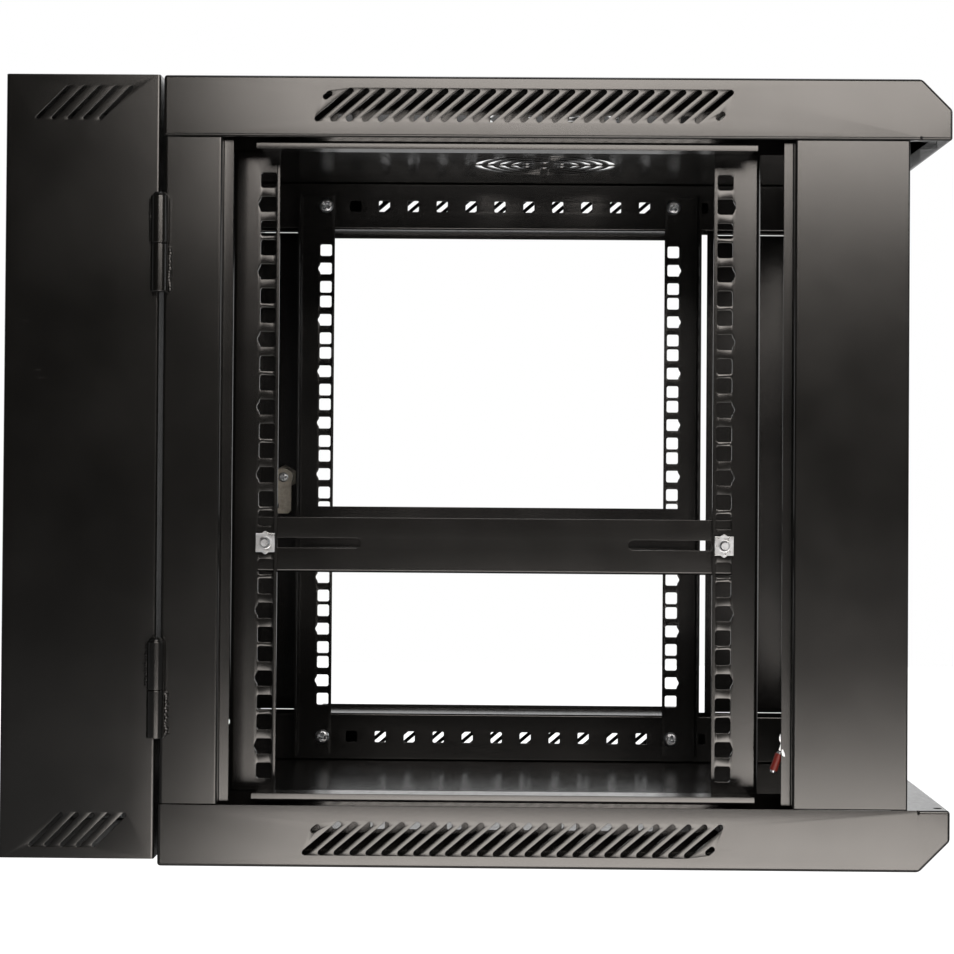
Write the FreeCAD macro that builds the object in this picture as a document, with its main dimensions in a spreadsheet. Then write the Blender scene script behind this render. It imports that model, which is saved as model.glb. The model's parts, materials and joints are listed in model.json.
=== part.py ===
"""Wall-mount network cabinet, 19 inch, nine rack units, in two sections.

The shallow wall section is bolted to the wall. The main body hangs on two hinges
at its near (-X) side and swings away from the wall section; a cam lock holds it
at the far (+X) side. Both side panels and the front door are off.

Axes: +Z up, the wall is the plane Y = 0 and the cabinet faces -Y. The origin is
the centre of the four wall bolts. All sizes are millimetres.
"""
import FreeCAD, Part
import os
import re

import Sketcher

V = FreeCAD.Vector

SIZES = {
    # Cabinet and its two sections
    "width": 600.0,
    "body_height": 501.0,
    "body_depth": 500.0,
    "wall_height": 496.5,
    "wall_depth": 98.0,
    "swing_gap": 2.0,
    "sheet": 1.2,
    "seam": 0.5,
    # Top and bottom covers
    "skirt": 39.0,
    "lip_depth": 27.0,
    "lip_chamfer": 19.5,
    "door_pin_radius": 2.75,
    "door_pin_inset": 11.5,
    "door_pin_setback": 6.0,
    "relief_station": 6.4,
    "relief_width": 1.2,
    "relief_height": 2.6,
    # Slanted vent slots
    "vent_count": 25.0,
    "vent_pitch": 10.04,
    "vent_radius": 1.75,
    "vent_run": 21.0,
    "vent_rise": 17.9,
    "vent_level": 18.45,
    "top_vent_first": 108.0,
    "bottom_vent_first": 104.0,
    "vent_dot_offset": 6.0,
    "vent_dot_length": 3.2,
    "wall_vent_count": 5.0,
    "wall_vent_radius": 1.3,
    "wall_vent_run": 19.0,
    "wall_vent_rise": 19.2,
    "wall_vent_first": 29.5,
    "wall_vent_level": 18.1,
    # Fan grilles in the top cover
    "fan_offset": 124.0,
    "fan_station": 248.5,
    "ring_count": 4.0,
    "ring_radius": 57.6,
    "ring_pitch": 9.5,
    "ring_slot": 5.3,
    "ring_spoke": 4.0,
    "eyelet_circle": 16.3,
    "eyelet_radius": 5.2,
    "fan_bolt_pitch": 104.8,
    "fan_bolt_radius": 2.2,
    # Corner columns
    "frame_opening": 480.0,
    "rear_column_face": 36.3,
    "front_column_face": 72.5,
    "panel_recess": 10.0,
    "panel_seat": 6.0,
    # Side beams between the columns
    "beam_sheet": 1.5,
    "beam_depth": 41.5,
    "beam_ledge": 17.0,
    "seat_lip": 3.6,
    "seat_start": 58.0,
    "seat_end": 378.0,
    "beam_hole": 9.5,
    "beam_hole_pitch": 25.0,
    "beam_hole_count": 14.0,
    # 19 inch mounting rails
    "rail_sheet": 2.0,
    "rail_web": 30.5,
    "rail_spacing": 490.0,
    "rack_opening": 450.0,
    "rack_columns": 465.1,
    "rack_unit": 44.45,
    "rack_units": 9.0,
    "unit_edge": 6.35,
    "unit_step": 15.875,
    "rack_hole": 9.5,
    "web_hole": 10.0,
    "web_hole_edge": 7.5,
    "web_notch": 2.2,
    "web_notch_half": 3.6,
    "rail_bend": 3.0,
    "rail_screw_hole": 3.3,
    "rail_end_gap": 9.5,
    "rail_drop": 3.0,
    "rail_station": 61.5,
    "rail_reach": 300.0,
    # Cross bars between the rails
    "bar_height": 36.0,
    "bar_flange": 12.0,
    "bar_sheet": 1.5,
    "bar_overlap": 14.5,
    "bar_unit": 3.0,
    "bar_slot_rise": 19.3,
    "bar_slot_radius": 3.3,
    "bar_slot_outer": 4.0,
    "bar_slot_inner": 59.0,
    # Cage nuts, screws and nuts
    "cage_side": 12.4,
    "cage_depth": 4.4,
    "cage_tab": 1.4,
    "cage_play": 0.2,
    "screw_radius": 3.0,
    "screw_head": 6.0,
    "screw_head_height": 3.2,
    "screw_length": 14.0,
    "nut_side": 10.0,
    "nut_height": 5.0,
    "thread_clearance": 0.05,
    # Hinges
    "knuckle_radius": 5.5,
    "knuckle_length": 30.6,
    "knuckle_gap": 0.4,
    "upper_split": 107.8,
    "lower_split": 112.0,
    "hinge_pin_radius": 3.0,
    "pin_clearance": 0.05,
    "pin_head_radius": 4.6,
    "swing_clearance": 0.3,
    "weld_reach": 8.0,
    # Swing lock
    "lock_station": 22.5,
    "lock_level": 244.5,
    "barrel_radius": 8.0,
    "barrel_reach": 16.0,
    "barrel_flange_radius": 10.5,
    "barrel_flange": 2.2,
    "plug_radius": 5.5,
    "plug_square": 6.0,
    "lock_nut_side": 19.0,
    "lock_nut_height": 4.0,
    "cam_sheet": 2.0,
    "cam_width": 14.0,
    "cam_length": 32.0,
    "cam_catch": 3.0,
    "cam_clearance": 1.2,
    "cam_screw_head": 4.4,
    # Wall section
    "wall_sheet": 1.5,
    "wall_return": 22.0,
    "wall_bolt_span": 500.0,
    "wall_bolt_rise": 400.0,
    "wall_bolt_radius": 5.0,
    "window_width": 380.0,
    "window_height": 300.0,
    "cap_flange": 20.0,
    "entry_length": 260.0,
    "entry_width": 50.0,
    "entry_margin": 12.0,
    "entry_screw_radius": 2.0,
    "entry_screw_length": 8.0,
    "entry_head_radius": 3.8,
    "entry_head_height": 2.2,
    # Earth point
    "earth_level": 82.5,
    "earth_stud_radius": 2.0,
    "earth_stud_length": 9.0,
    "earth_tilt": 20.0,
    "earth_nut_side": 7.0,
    "earth_nut_height": 3.2,
    "earth_ring_radius": 4.2,
    "crimp_radius": 1.8,
    "crimp_start": 9.0,
    "sleeve_radius": 2.6,
    "sleeve_length": 11.0,
    "ring_sheet": 0.8,
}

# Positions used again and again, written with the sheet's own words.
BODY_REAR = "wall_depth + swing_gap"
BODY_FLOOR = "wall_height / 2 - body_height"
FRONT_PLANE = "(body_depth - lip_depth)"
RAIL_WEB_FACE = "(rail_spacing / 2)"
RAIL_MIDDLE = "(body_height / 2 - rail_drop)"
RAIL_LENGTH = "(body_height - 2 * rail_end_gap)"
BEAM_HOLE_LEVEL = "((beam_depth + sheet) / 2)"
RACK_PLANE = "(rail_station + web_hole_edge - rail_web)"
RAIL_MIRROR = f"-({BODY_REAR} + rail_station + rail_reach / 2)"
BAR_LEVEL = f"({RAIL_MIDDLE} - rack_units * rack_unit / 2 + bar_unit * rack_unit + unit_edge + unit_step)"
CAM_FACE = "(width / 2 - barrel_reach - swing_clearance)"
UPPER_SPLIT = "(wall_height / 2 - upper_split)"
LOWER_SPLIT = f"({BODY_FLOOR} + lower_split)"
HINGE_X = "(width / 2 + knuckle_radius + swing_clearance)"
HINGE_Y = "(wall_depth + swing_gap / 2)"

doc = FreeCAD.newDocument("network_cabinet")
sheet = doc.addObject("Spreadsheet::Sheet", "Sizes")
for row, (word, value) in enumerate(SIZES.items(), start=1):
    sheet.set(f"A{row}", word)
    sheet.set(f"B{row}", str(value))
    sheet.setAlias(f"B{row}", word)
doc.recompute()


def bound(text):
    """Turn plain size words into references to the sheet's cells."""
    return re.sub(r"[a-z_]+", lambda hit: f"Sizes.{hit.group()}" if hit.group() in SIZES else hit.group(), text)


def bind(item, **expressions):
    """Bind properties; two underscores in a name stand for a dot."""
    for name, text in expressions.items():
        item.setExpression(name.replace("__", "."), bound(text))
    return item


def size(word):
    """The value that the sheet holds for a word."""
    return float(sheet.get(word))


def place(item, x="0", y="0", z="0"):
    """Put an item at a bound position."""
    return bind(item, Placement__Base__x=x, Placement__Base__y=y, Placement__Base__z=z)


def new_body(label, x="0", y="0", z="0"):
    """A PartDesign body with its own label and bound position."""
    body = doc.addObject("PartDesign::Body", label)
    body.Label = label
    return place(body, x, y, z)


def cabinet_body(label):
    """A body whose frame is the swinging section's: rear plane, mid width, underside."""
    return new_body(label, y=f"-({BODY_REAR})", z=BODY_FLOOR)


def origin_feature(body, role):
    """One of the body's own origin planes or axes."""
    for feature in body.Origin.OriginFeatures:
        if feature.Role == role:
            return feature
    raise LookupError(role)


def sketch_on(body, role, offset="0"):
    """An empty sketch on an origin plane, lifted along its normal."""
    sketch = body.newObject("Sketcher::SketchObject", f"{body.Name}_sketch")
    sketch.AttachmentSupport = [(origin_feature(body, role), "")]
    sketch.MapMode = "FlatFace"
    return bind(sketch, AttachmentOffset__Base__z=offset)


def fix_point(sketch, geometry, end, x, y):
    """Hold one point of a sketch at bound coordinates."""
    for kind, text in (("DistanceX", x), ("DistanceY", y)):
        index = sketch.addConstraint(Sketcher.Constraint(kind, -1, 1, geometry, end, 1.0))
        sketch.setExpression(f"Constraints[{index}]", bound(text))


def add_outline(sketch, corners):
    """Close straight edges through corners, each a pair of bound coordinates."""
    first = sketch.GeometryCount
    count = len(corners)
    ring = [V(10, 0, 0)]
    for step in range(1, count):
        turn = FreeCAD.Rotation(V(0, 0, 1), 360.0 * step / count)
        ring.append(turn.multVec(ring[0]))
    for step in range(count):
        sketch.addGeometry(Part.LineSegment(ring[step], ring[(step + 1) % count]), False)
    for step in range(count):
        following = first + (step + 1) % count
        sketch.addConstraint(Sketcher.Constraint("Coincident", first + step, 2, following, 1))
    for step, (x, y) in enumerate(corners):
        fix_point(sketch, first + step, 1, x, y)


def add_box(sketch, left, bottom, right, top):
    """A rectangle between two bound corners."""
    add_outline(sketch, [(left, bottom), (right, bottom), (right, top), (left, top)])


def add_circle(sketch, x, y, radius):
    """A circle with a bound centre and radius."""
    index = sketch.addGeometry(Part.Circle(V(1, 1, 0), V(0, 0, 1), 5.0), False)
    fix_point(sketch, index, 3, x, y)
    hold = sketch.addConstraint(Sketcher.Constraint("Radius", index, 5.0))
    sketch.setExpression(f"Constraints[{hold}]", bound(radius))


def polygon(sides, radius, x="0", y="0"):
    """Corners of a regular polygon; small round features that repeat have few sides."""
    turns = [f"({360.0 * (step + 0.5) / sides} deg)" for step in range(sides)]
    return [(f"{x} + ({radius}) * cos{turn}", f"{y} + ({radius}) * sin{turn}") for turn in turns]


def outline_on(body, role, corners, offset="0"):
    """A sketch that holds one closed outline."""
    sketch = sketch_on(body, role, offset)
    add_outline(sketch, corners)
    return sketch


def box_on(body, role, left, bottom, right, top, offset="0"):
    """A sketch that holds one rectangle."""
    sketch = sketch_on(body, role, offset)
    add_box(sketch, left, bottom, right, top)
    return sketch


def polygon_on(body, role, sides, radius, offset="0", x="0", y="0"):
    """A sketch that holds one regular polygon."""
    return outline_on(body, role, polygon(sides, radius, x, y), offset)


def circle_on(body, role, x, y, radius, offset="0"):
    """A sketch that holds one circle."""
    sketch = sketch_on(body, role, offset)
    add_circle(sketch, x, y, radius)
    return sketch


def pad(body, sketch, length, symmetric=False, backward=False):
    """Add the sketch's area, pushed out by a bound length."""
    feature = body.newObject("PartDesign::Pad", f"{body.Name}_pad")
    feature.Profile = sketch
    feature.SideType = "Symmetric" if symmetric else "One side"
    feature.Reversed = backward
    bind(feature, Length=length)
    body.Tip = feature
    doc.recompute()
    return feature


def cut(body, sketch, length, symmetric=False, backward=False):
    """Take the sketch's area away, and check that something went."""
    doc.recompute()
    before = body.Shape.Volume
    feature = body.newObject("PartDesign::Pocket", f"{body.Name}_pocket")
    feature.Profile = sketch
    feature.SideType = "Symmetric" if symmetric else "One side"
    feature.Reversed = backward
    bind(feature, Length=length)
    body.Tip = feature
    doc.recompute()
    if body.Shape.Volume >= before:
        raise RuntimeError(f"{feature.Name} cuts nothing")
    return feature


def repeat(body, feature, role, spacing, count, backward=False):
    """Repeat a feature in a row along an origin axis."""
    row = body.newObject("PartDesign::LinearPattern", f"{body.Name}_row")
    row.Originals = [feature]
    row.Direction = (origin_feature(body, role), [""])
    row.Reversed = backward
    row.Mode = "Spacing"
    bind(row, Offset=spacing, Occurrences=count)
    body.Tip = row
    doc.recompute()
    return row


def round_upright(body, x, y, radius):
    """Round the upright edge that stands at one point of the plan."""
    base = body.Tip
    for index, edge in enumerate(base.Shape.Edges, start=1):
        middle = edge.CenterOfMass
        upright = abs(edge.tangentAt(edge.FirstParameter).z) > 0.9
        if upright and abs(middle.x - x) < 0.01 and abs(middle.y - y) < 0.01:
            fillet = body.newObject("PartDesign::Fillet", f"{body.Name}_bend")
            fillet.Base = (base, [f"Edge{index}"])
            bind(fillet, Radius=radius)
            body.Tip = fillet
            doc.recompute()
            return fillet
    raise LookupError(f"{body.Label} has no upright edge there")


def mirrored(source, label, normal, x="0", y="0", z="0"):
    """A mirror image of a whole piece, about a plane through a bound point."""
    image = doc.addObject("Part::Mirroring", label)
    image.Label = label
    image.Source = source
    image.Normal = normal
    bind(image, Base__x=x, Base__y=y, Base__z=z)
    doc.recompute()
    return image


def prism(label, sides, radius, height, x="0", y="0", z="0"):
    """An upright prism on a regular polygon, from a bound point."""
    item = doc.addObject("Part::Prism", label)
    item.Label = label
    item.Polygon = sides
    bind(item, Circumradius=radius, Height=height)
    return place(item, x, y, z)


def box(label, length, width, height, x="0", y="0", z="0"):
    """A box whose bound corner is its lowest in every direction."""
    item = doc.addObject("Part::Box", label)
    item.Label = label
    bind(item, Length=length, Width=width, Height=height)
    return place(item, x, y, z)


def fused(label, pieces):
    """Several shapes as one piece, or as a group of separate solids."""
    item = doc.addObject("Part::MultiFuse", label)
    item.Label = label
    item.Shapes = pieces
    return item


def grouped(label, pieces):
    """Separate solids kept together in one node."""
    item = doc.addObject("Part::Compound", label)
    item.Label = label
    item.Links = pieces
    return item


def subtracted(label, base, tool):
    """A base shape less a tool."""
    item = doc.addObject("Part::Cut", label)
    item.Label = label
    item.Base = base
    item.Tool = tool
    return item


# --- Top and bottom covers -------------------------------------------------------


def slanted(kind, length, y, z, up="+", down="-"):
    """Corners of one slanted slot, with its middle at y and z.

    kind is the first word of the run, rise and radius. length goes from one end to
    the other. The slot rises towards the front; up and down change places in a
    piece that is drawn upside down.
    """
    span = f"sqrt({kind}_run ^ 2 + {kind}_rise ^ 2)"
    along, upward = f"{kind}_run / {span}", f"{kind}_rise / {span}"
    reach, rise = f"({length}) / 2 * {along}", f"({length}) / 2 * {upward}"
    side, lift = f"{kind}_radius * {upward}", f"{kind}_radius * {along}"
    return [
        (f"{y} - {reach} + {side}", f"{z} {up} ({rise} + {lift})"),
        (f"{y} - {reach} - {side}", f"{z} {up} ({rise} - {lift})"),
        (f"{y} + {reach} - {side}", f"{z} {down} ({rise} + {lift})"),
        (f"{y} + {reach} + {side}", f"{z} {down} ({rise} - {lift})"),
    ]


def vent_row(body, kind, level, count, first, up="+", down="-"):
    """A row of slanted slots through both sides of a piece."""
    length = f"sqrt({kind}_run ^ 2 + {kind}_rise ^ 2) + 2 * {kind}_radius"
    corners = slanted(kind, length, f"-({first})", level, up, down)
    slot = cut(body, outline_on(body, "YZ_Plane", corners), "width", symmetric=True)
    repeat(body, slot, "Y_Axis", "vent_pitch", count, backward=True)


def vent_dots(body, first, up, down):
    """A short slot past each end of a cover's row, on the line of the slot that would come next."""
    dots = sketch_on(body, "YZ_Plane")
    last = f"({first} + vent_count * vent_pitch)"
    length = "vent_dot_length + 2 * vent_radius"
    rear, front = f"-({first} - vent_pitch + vent_dot_offset)", f"-({last} - vent_dot_offset)"
    add_outline(dots, slanted("vent", length, rear, f"vent_level {up} vent_dot_offset", up, down))
    add_outline(dots, slanted("vent", length, front, f"vent_level {down} vent_dot_offset", up, down))
    cut(body, dots, "width", symmetric=True)


def cover_shell(label, first, up, down):
    """A folded cover, open towards +Z: plate, skirts on all sides and a hollow front lip.

    It is drawn as the bottom cover, with the plate's outer face at height 0. The
    lip's outer corner is a 45 degree chamfer, and its flange turns back to the
    front frame. A small notch relieves each skirt where that flange is bent.
    """
    body = cabinet_body(label)
    outer = [
        ("0", "0"),
        ("0", "skirt"),
        ("-body_depth", "skirt"),
        ("-body_depth", "lip_chamfer"),
        ("-(body_depth - lip_chamfer)", "0"),
    ]
    pad(body, outline_on(body, "YZ_Plane", outer), "width", symmetric=True)
    bend = "sheet * tan(22.5 deg)"
    hollow = [
        ("-sheet", "sheet"),
        ("-sheet", "skirt"),
        (f"-{FRONT_PLANE}", "skirt"),
        (f"-{FRONT_PLANE}", "skirt - sheet"),
        ("-(body_depth - sheet)", "skirt - sheet"),
        ("-(body_depth - sheet)", f"lip_chamfer + {bend}"),
        (f"-(body_depth - lip_chamfer - {bend})", "sheet"),
    ]
    cut(body, outline_on(body, "YZ_Plane", hollow), "width - 2 * sheet", symmetric=True)
    station = f"({FRONT_PLANE} + relief_station)"
    front, low = f"-({station} + relief_width)", "skirt - relief_height"
    for plane in ("width / 2", "-(width / 2 - sheet)"):
        cut(body, box_on(body, "YZ_Plane", front, low, f"-{station}", "skirt", plane), "sheet")
    vent_row(body, "vent", "vent_level", "vent_count", first, up, down)
    vent_dots(body, first, up, down)
    return body


def door_pin_holes(body):
    """Holes in the lip's flange, one at each end, for the pins that a door hangs on."""
    sketch = sketch_on(body, "XY_Plane", "skirt - sheet")
    for side in ("-", ""):
        x = f"{side}(width / 2 - door_pin_inset)"
        add_outline(sketch, polygon(16, "door_pin_radius", x, "-(body_depth - door_pin_setback)"))
    cut(body, sketch, "sheet", backward=True)


def grille_tool(label, side):
    """The openings of one round fan grille, as a solid to cut with.

    Ring slots, each broken by two crossing spokes, lie around a circle of six
    eyelets. Four small holes at the corners take the fan's screws.
    """
    x, y = f"{side}fan_offset", f"-({BODY_REAR} + fan_station)"
    z = f"{BODY_FLOOR} + body_height - 2 * sheet"
    rings = []
    for step in range(int(size("ring_count"))):
        outer_radius = f"ring_radius - {step} * ring_pitch"
        sides = 24 - 4 * min(step, 3)
        disc = prism(f"{label}_disc", sides, outer_radius, "3 * sheet", x, y, z)
        core = prism(f"{label}_core", sides, f"{outer_radius} - ring_slot", "3 * sheet", x, y, z)
        rings.append(subtracted(f"{label}_ring", disc, core))
    along = "2 * ring_radius"
    spokes = [
        box(f"{label}_spoke", along, "ring_spoke", "3 * sheet", f"{x} - ring_radius", f"{y} - ring_spoke / 2", z),
        box(f"{label}_spoke", "ring_spoke", along, "3 * sheet", f"{x} - ring_spoke / 2", f"{y} - ring_radius", z),
    ]
    slots = subtracted(f"{label}_slots", grouped(f"{label}_rings", rings), fused(f"{label}_cross", spokes))
    holes = []
    for step in range(6):
        turn = f"({30 + 60 * step} deg)"
        hole_x = f"{x} + eyelet_circle * sin{turn}"
        hole_y = f"{y} + eyelet_circle * cos{turn}"
        holes.append(prism(f"{label}_eyelet", 8, "eyelet_radius", "3 * sheet", hole_x, hole_y, z))
    for across in ("-", "+"):
        for deep in ("-", "+"):
            hole_x = f"{x} {across} fan_bolt_pitch / 2"
            hole_y = f"{y} {deep} fan_bolt_pitch / 2"
            holes.append(prism(f"{label}_screw", 8, "fan_bolt_radius", "3 * sheet", hole_x, hole_y, z))
    return [slots] + holes


def build_covers():
    """The bottom cover, and the top cover as its mirror image with two fan grilles."""
    bottom = cover_shell("bottom_cover", "bottom_vent_first", "+", "-")
    door_pin_holes(bottom)
    shell = cover_shell("top_cover_shell", "top_vent_first", "-", "+")
    door_pin_holes(shell)
    blank = mirrored(shell, "top_cover_blank", V(0, 0, 1), z=f"{BODY_FLOOR} + body_height / 2")
    openings = grille_tool("far_grille", "") + grille_tool("near_grille", "-")
    return [bottom, subtracted("top_cover", blank, grouped("grille_openings", openings))]


# --- Corner columns ------------------------------------------------------------------


def column(label, side, plane, inward, face):
    """A folded corner column between the covers.

    A flange in the front or rear plane, a side face flush with the covers' skirts,
    a step inward and a narrow seat for the side panel. The flange alone runs on
    inside both covers, where it is welded. side is the sign of X, plane the outer
    plane's Y and inward the sign that leads from it into the cabinet.
    """
    body = cabinet_body(label)
    outer, recess = "width / 2", "width / 2 - panel_recess"
    section = [
        ("frame_opening / 2", "0"),
        (outer, "0"),
        (outer, face),
        (recess, face),
        (recess, f"{face} + panel_seat"),
        (f"{recess} - sheet", f"{face} + panel_seat"),
        (f"{recess} - sheet", f"{face} - sheet"),
        (f"{outer} - sheet", f"{face} - sheet"),
        (f"{outer} - sheet", "sheet"),
        ("frame_opening / 2", "sheet"),
    ]
    corners = [(f"{side}({x})", f"{plane} {inward} ({y})") for x, y in section]
    visible = "body_height - 2 * (skirt + seam)"
    pad(body, outline_on(body, "XY_Plane", corners, "skirt + seam"), visible)
    left, right = f"{side}frame_opening / 2", f"{side}(width / 2 - sheet)"
    flange = box_on(body, "XY_Plane", left, plane, right, f"{plane} {inward} sheet", "sheet")
    pad(body, flange, "body_height - 2 * sheet")
    return body


def cut_lock_openings(body):
    """In the far rear column: the lock's hole, and the slot that its cam swings through."""
    hole = polygon_on(
        body, "YZ_Plane", 16, "barrel_radius + thread_clearance", "width / 2 - 2 * sheet", "-lock_station", "lock_level"
    )
    cut(body, hole, "3 * sheet", backward=True)
    low, high = "lock_level - cam_length + 3", "lock_level + cam_width / 2 + cam_clearance"
    slot = box_on(body, "XZ_Plane", f"{CAM_FACE} - cam_sheet - cam_clearance", low, f"{CAM_FACE} + cam_clearance", high,
                  "3 * sheet")
    cut(body, slot, "3 * sheet")


def build_columns():
    """Four corner columns; the far rear one carries the lock."""
    rear, front = "-sheet", f"-{FRONT_PLANE}"
    columns = []
    for name, side in (("near", "-"), ("far", "")):
        columns.append(column(f"rear_column_{name}", side, rear, "-", "rear_column_face"))
        columns.append(column(f"front_column_{name}", side, front, "+", "front_column_face"))
    cut_lock_openings(columns[2])
    return columns


# --- Side beams, mounting rails and cross bars ----------------------------------------


def side_beam(label):
    """The far bottom beam: a web with a row of square holes, a ledge and a panel seat.

    The ledge lies on the cover. The shelf at the top reaches out to the panel's
    plane and ends in an upturned lip that the side panel rests on.
    """
    body = cabinet_body(label)
    web, edge = RAIL_WEB_FACE, "width / 2 - panel_recess"
    channel = [
        (web, "sheet"),
        (f"{web} + beam_ledge", "sheet"),
        (f"{web} + beam_ledge", "sheet + beam_sheet"),
        (f"{web} + beam_sheet", "sheet + beam_sheet"),
        (f"{web} + beam_sheet", "beam_depth"),
        (web, "beam_depth"),
    ]
    pad(body, outline_on(body, "XZ_Plane", channel, "2 * sheet"), f"{FRONT_PLANE} - 3 * sheet")
    shelf = [
        (web, "beam_depth - beam_sheet"),
        (edge, "beam_depth - beam_sheet"),
        (edge, "beam_depth + seat_lip"),
        (f"{edge} - beam_sheet", "beam_depth + seat_lip"),
        (f"{edge} - beam_sheet", "beam_depth"),
        (web, "beam_depth"),
    ]
    pad(body, outline_on(body, "XZ_Plane", shelf, "seat_start"), "seat_end - seat_start")
    half = "beam_hole / 2"
    hole = box_on(
        body,
        "YZ_Plane",
        f"-(rail_station + {half})",
        f"{BEAM_HOLE_LEVEL} - {half}",
        f"-(rail_station - {half})",
        f"{BEAM_HOLE_LEVEL} + {half}",
        f"{web} - beam_sheet",
    )
    square = cut(body, hole, "3 * beam_sheet", backward=True)
    repeat(body, square, "Y_Axis", "beam_hole_pitch", "beam_hole_count", backward=True)
    return body


def four_images(source, names, plane_y=None, plane_z=None):
    """A piece and its three mirror images, across X and across one other plane."""
    across = V(0, 1, 0) if plane_y else V(0, 0, 1)
    where = {"y": plane_y} if plane_y else {"z": plane_z}
    second = mirrored(source, names[1], V(1, 0, 0))
    third = mirrored(source, names[2], across, **where)
    fourth = mirrored(third, names[3], V(1, 0, 0))
    return [source, second, third, fourth]


def build_beams():
    """Four equal beams: far and near, bottom and top."""
    names = ["bottom_beam_far", "bottom_beam_near", "top_beam_far", "top_beam_near"]
    return four_images(side_beam(names[0]), names, plane_z=f"{BODY_FLOOR} + body_height / 2")


def unit_levels():
    """Heights of the three holes in the lowest rack unit."""
    lowest = f"({RAIL_MIDDLE} - rack_units * rack_unit / 2 + unit_edge)"
    return [f"({lowest} + {step} * unit_step)" for step in range(3)]


def mounting_rail(label):
    """The far rear rail: a folded angle with the 19 inch hole pattern in both legs.

    Three square holes make a rack unit, and the pattern repeats by the unit. In
    the side leg the middle hole of each unit has a pointed notch that marks it.
    """
    body = cabinet_body(label)
    web, half_opening = RAIL_WEB_FACE, "rack_opening / 2"
    near_edge, free_edge = f"({RACK_PLANE} + rail_sheet)", f"({RACK_PLANE} + rail_web)"
    angle = [
        (half_opening, f"-{RACK_PLANE}"),
        (web, f"-{RACK_PLANE}"),
        (web, f"-{free_edge}"),
        (f"{web} - rail_sheet", f"-{free_edge}"),
        (f"{web} - rail_sheet", f"-{near_edge}"),
        (half_opening, f"-{near_edge}"),
    ]
    pad(body, outline_on(body, "XY_Plane", angle, f"{RAIL_MIDDLE} - {RAIL_LENGTH} / 2"), RAIL_LENGTH)
    inner_bend = size("rail_bend") - size("rail_sheet")
    outer_x, outer_y = size("rail_spacing") / 2, -(size("rail_station") + size("web_hole_edge") - size("rail_web"))
    round_upright(body, outer_x, outer_y, "rail_bend")
    round_upright(body, outer_x - size("rail_sheet"), outer_y - size("rail_sheet"), "rail_bend - rail_sheet")

    side_leg = sketch_on(body, "YZ_Plane", f"{web} - 2 * rail_sheet")
    front_leg = sketch_on(body, "XZ_Plane", f"{RACK_PLANE} + 2 * rail_sheet")
    rear, front = "-rail_station + web_hole / 2", "-rail_station - web_hole / 2"
    for step, level in enumerate(unit_levels()):
        low, high = f"{level} - web_hole / 2", f"{level} + web_hole / 2"
        outline = [(front, low), (rear, low), (rear, high), (front, high)]
        if step == 1:
            notch = [
                (rear, f"{level} - web_notch_half"),
                (f"{rear} + web_notch", level),
                (rear, f"{level} + web_notch_half"),
            ]
            outline[2:2] = notch
        add_outline(side_leg, outline)
        column_x, half = "rack_columns / 2", "rack_hole / 2"
        add_box(front_leg, f"{column_x} - {half}", f"{level} - {half}", f"{column_x} + {half}", f"{level} + {half}")
    unit_holes = cut(body, side_leg, "3 * rail_sheet", backward=True)
    repeat(body, unit_holes, "Z_Axis", "rack_unit", "rack_units")
    rack_holes = cut(body, front_leg, "3 * rail_sheet")
    repeat(body, rack_holes, "Z_Axis", "rack_unit", "rack_units")

    fixings = sketch_on(body, "YZ_Plane", f"{web} - 2 * rail_sheet")
    for level in (BEAM_HOLE_LEVEL, f"body_height - {BEAM_HOLE_LEVEL}"):
        half = "rail_screw_hole"
        add_box(fixings, f"-rail_station - {half}", f"{level} - {half}", f"-rail_station + {half}", f"{level} + {half}")
    cut(body, fixings, "3 * rail_sheet", backward=True)
    return body


def build_rails():
    """Four rails: the far rear one and its mirror images."""
    names = ["rear_rail_far", "rear_rail_near", "front_rail_far", "front_rail_near"]
    return four_images(mounting_rail(names[0]), names, plane_y=RAIL_MIRROR)


def cross_bar(label):
    """The far cross bar: an angle between the two rails, with a long slot at each end."""
    body = cabinet_body(label)
    face = f"({RAIL_WEB_FACE} - rail_sheet)"
    bottom = f"({BAR_LEVEL} - bar_slot_rise)"
    angle = [
        (face, bottom),
        (face, f"{bottom} + bar_height"),
        (f"{face} - bar_sheet", f"{bottom} + bar_height"),
        (f"{face} - bar_sheet", f"{bottom} + bar_sheet"),
        (f"{face} - bar_flange", f"{bottom} + bar_sheet"),
        (f"{face} - bar_flange", bottom),
    ]
    sketch = outline_on(body, "XZ_Plane", angle, "rail_station - bar_overlap")
    pad(body, sketch, "rail_reach + 2 * bar_overlap")
    slots = sketch_on(body, "YZ_Plane", f"{face} - 2 * bar_sheet")
    low, high = f"{BAR_LEVEL} - bar_slot_radius", f"{BAR_LEVEL} + bar_slot_radius"
    outer, inner = "(bar_slot_outer + bar_slot_radius)", "(bar_slot_inner + bar_slot_radius)"
    add_box(slots, f"-(rail_station + {inner})", low, f"-(rail_station - {outer})", high)
    front = "(rail_station + rail_reach)"
    add_box(slots, f"-({front} + {outer})", low, f"-({front} - {inner})", high)
    cut(body, slots, "3 * bar_sheet", backward=True)
    return body


def build_cross_bars():
    """One cross bar for each side."""
    far = cross_bar("cross_bar_far")
    return [far, mirrored(far, "cross_bar_near", V(1, 0, 0))]


# --- Fasteners ---------------------------------------------------------------------------


def screw_along_x(label, x, y, z):
    """A pan-head screw whose head lies inside the plane x and whose shank runs to +X."""
    body = new_body(label, x, y, z)
    pad(body, polygon_on(body, "YZ_Plane", 12, "screw_head"), "screw_head_height", backward=True)
    pad(body, polygon_on(body, "YZ_Plane", 8, "screw_radius"), "screw_length")
    return body


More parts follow.
